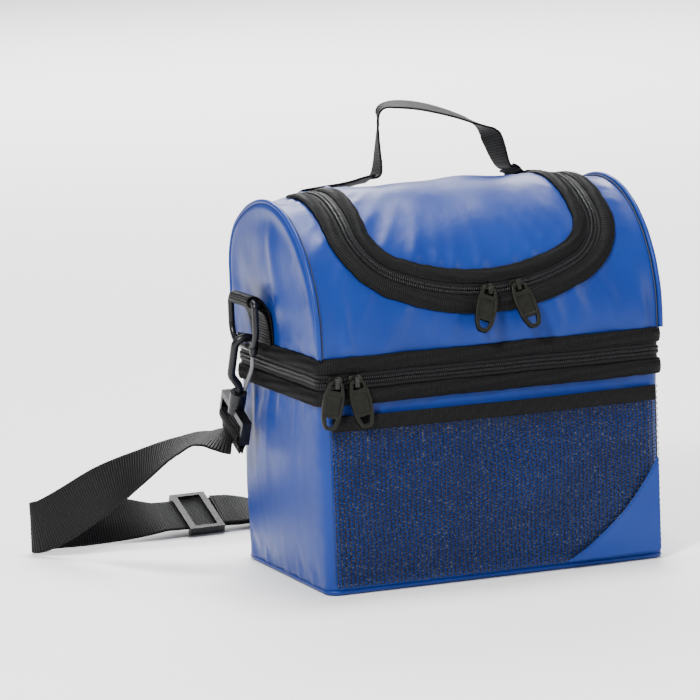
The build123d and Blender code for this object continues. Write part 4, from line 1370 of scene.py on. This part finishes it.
# Each pull hangs at its own angle across the slider, in degrees.
PULL_TURN = {"main_left": 6, "main_right": 0, "lid_left": 12, "lid_right": 4}


def pull(name, joint):
    """Rubber pull with a raised rim, a wide slot over the slider's bridge and a hole at its foot."""
    low = PULL_TOP - PULL_LONG
    outer = rounded([(-4.4, PULL_TOP), (4.4, PULL_TOP), (7.0, -7), (7.5, -14), (6.6, low + 7), (3.6, low),
                     (-3.6, low), (-6.6, low + 7), (-7.5, -14), (-7.0, -7)], 2.6)
    inner = rounded([(-5.4, -8.0), (5.4, -8.0), (6.1, -11), (5.6, low + 10.2), (-5.6, low + 10.2),
                     (-6.1, -11)], 1.0)
    slot = rounded([(-3.7, -0.9), (3.7, -0.9), (4.4, -5.6), (-4.4, -5.6)], 1.1)
    hole = rounded([(-4.5, low + 8.6), (4.5, low + 8.6), (2.5, low + 2.2), (-2.5, low + 2.2)], 1.0)
    joint_at = Vector(joint["pos_m"])
    along = -Vector(joint["axis"]).normalized()
    outward = Vector((0, -1, 0)) if name.startswith("main") else LID_OUT
    along = Matrix.Rotation(-math.radians(PULL_TURN[name]), 3, outward) @ along
    up = outward.cross(along).normalized()
    y_axis = up * math.cos(PULL_LEAN) - outward * math.sin(PULL_LEAN)
    z_axis = along.cross(y_axis)
    place = Matrix((
        (along.x, y_axis.x, z_axis.x, joint_at.x),
        (along.y, y_axis.y, z_axis.y, joint_at.y),
        (along.z, y_axis.z, z_axis.z, joint_at.z),
        (0, 0, 0, 1)))
    layers = (("plate", [outer, slot, hole], 1.5), ("rim", [outer, slot, hole, inner], 3.1))
    for part, outlines, thick in layers:
        mesh = flat_part(name + "_" + part, outlines, thick, 0.3)
        mesh.transform(place)
        mesh.materials.clear()
        mesh.materials.append(RUBBER)
        obj = bpy.data.objects.new(name + "_pull_" + part, mesh)
        bpy.context.scene.collection.objects.link(obj)
        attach(obj, name + "_pull")
        if part == "plate":
            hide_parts(name + "_pull")


def outward_at(s):
    _, _, ny, nz = section_point(s)
    return Vector((0, ny, nz))


LID_OUT = outward_at(U_BOTTOM_S)


def hardware():
    joints = {joint["name"]: joint for joint in frame["joints"]}
    for name in ("main_left", "main_right", "lid_left", "lid_right"):
        pull(name, joints[name + "_pull_flip"])
    finishes = {
        "slider": METAL, "ring": PLASTIC, "hook": PLASTIC, "swivel_base": PLASTIC, "glide": PLASTIC,
        "gate": GREY,
    }
    for node, obj in frame["nodes"].items():
        for key, material in finishes.items():
            if node.endswith(key):
                obj.data.materials.clear()
                obj.data.materials.append(material)
    for side, name in ((-1, "left"), (1, "right")):
        side_tab(side, name)
        strap_end(side, name)


# ---------------------------------------------------------------- stage and lights
def area_light(name, place, aim, size, power):
    light = bpy.data.lights.new(name, "AREA")
    light.shape = "DISK"
    light.size = size
    light.energy = power
    holder = bpy.data.objects.new(name, light)
    holder.location = place
    holder.rotation_mode = "QUATERNION"
    holder.rotation_quaternion = (Vector(aim) - Vector(place)).to_track_quat("-Z", "Y")
    bpy.context.scene.collection.objects.link(holder)


def stage():
    world = bpy.data.worlds.new("studio")
    world.use_nodes = True
    world.node_tree.nodes["Background"].inputs["Color"].default_value = (1, 1, 1, 1)
    world.node_tree.nodes["Background"].inputs["Strength"].default_value = 0.55
    bpy.context.scene.world = world
    mesh = bpy.data.meshes.new("floor")
    reach = 14.0
    mesh.from_pydata([(-reach, -reach, 0), (reach, -reach, 0), (reach, reach, 0), (-reach, reach, 0)], [],
                     [(0, 1, 2, 3)])
    paper = Nodes("paper", (0.93, 0.93, 0.93), 0.9)
    mesh.materials.append(paper.material)
    floor = bpy.data.objects.new("floor", mesh)
    floor.location.z = -0.0004
    bpy.context.scene.collection.objects.link(floor)
    middle = (0, 0, 0.13)
    area_light("key", (-1.7, -1.5, 1.9), middle, 0.55, 120)
    area_light("fill", (2.2, -1.8, 0.9), middle, 1.2, 22)
    area_light("top", (0.2, 0.3, 2.2), middle, 0.7, 55)
    area_light("backdrop", (1.2, 4.0, 3.0), (1.2, 3.6, 0), 3.0, 420)


# ---------------------------------------------------------------- build
shoulder_strap()
lower_shell()
base_panel()
lower_lining()
wrap = barrel_sheet("upper_wrap_skin", False)
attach(wrap, "upper_body")
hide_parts("upper_wrap", "upper_foam")
lid = barrel_sheet("lid_skin", True)
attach(lid, "lid")
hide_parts("lid_panel", "lid_foam")
end_panel(-1, "left")
end_panel(1, "right")
edge_piping(-1, "left")
edge_piping(1, "right")
upper_lining()
floor_panel()
binding_tapes()
rear_strip()
zippers()
mouth_rims()
lid_rims()
pocket()
seam_stitches()
handle()
hardware()
stage()
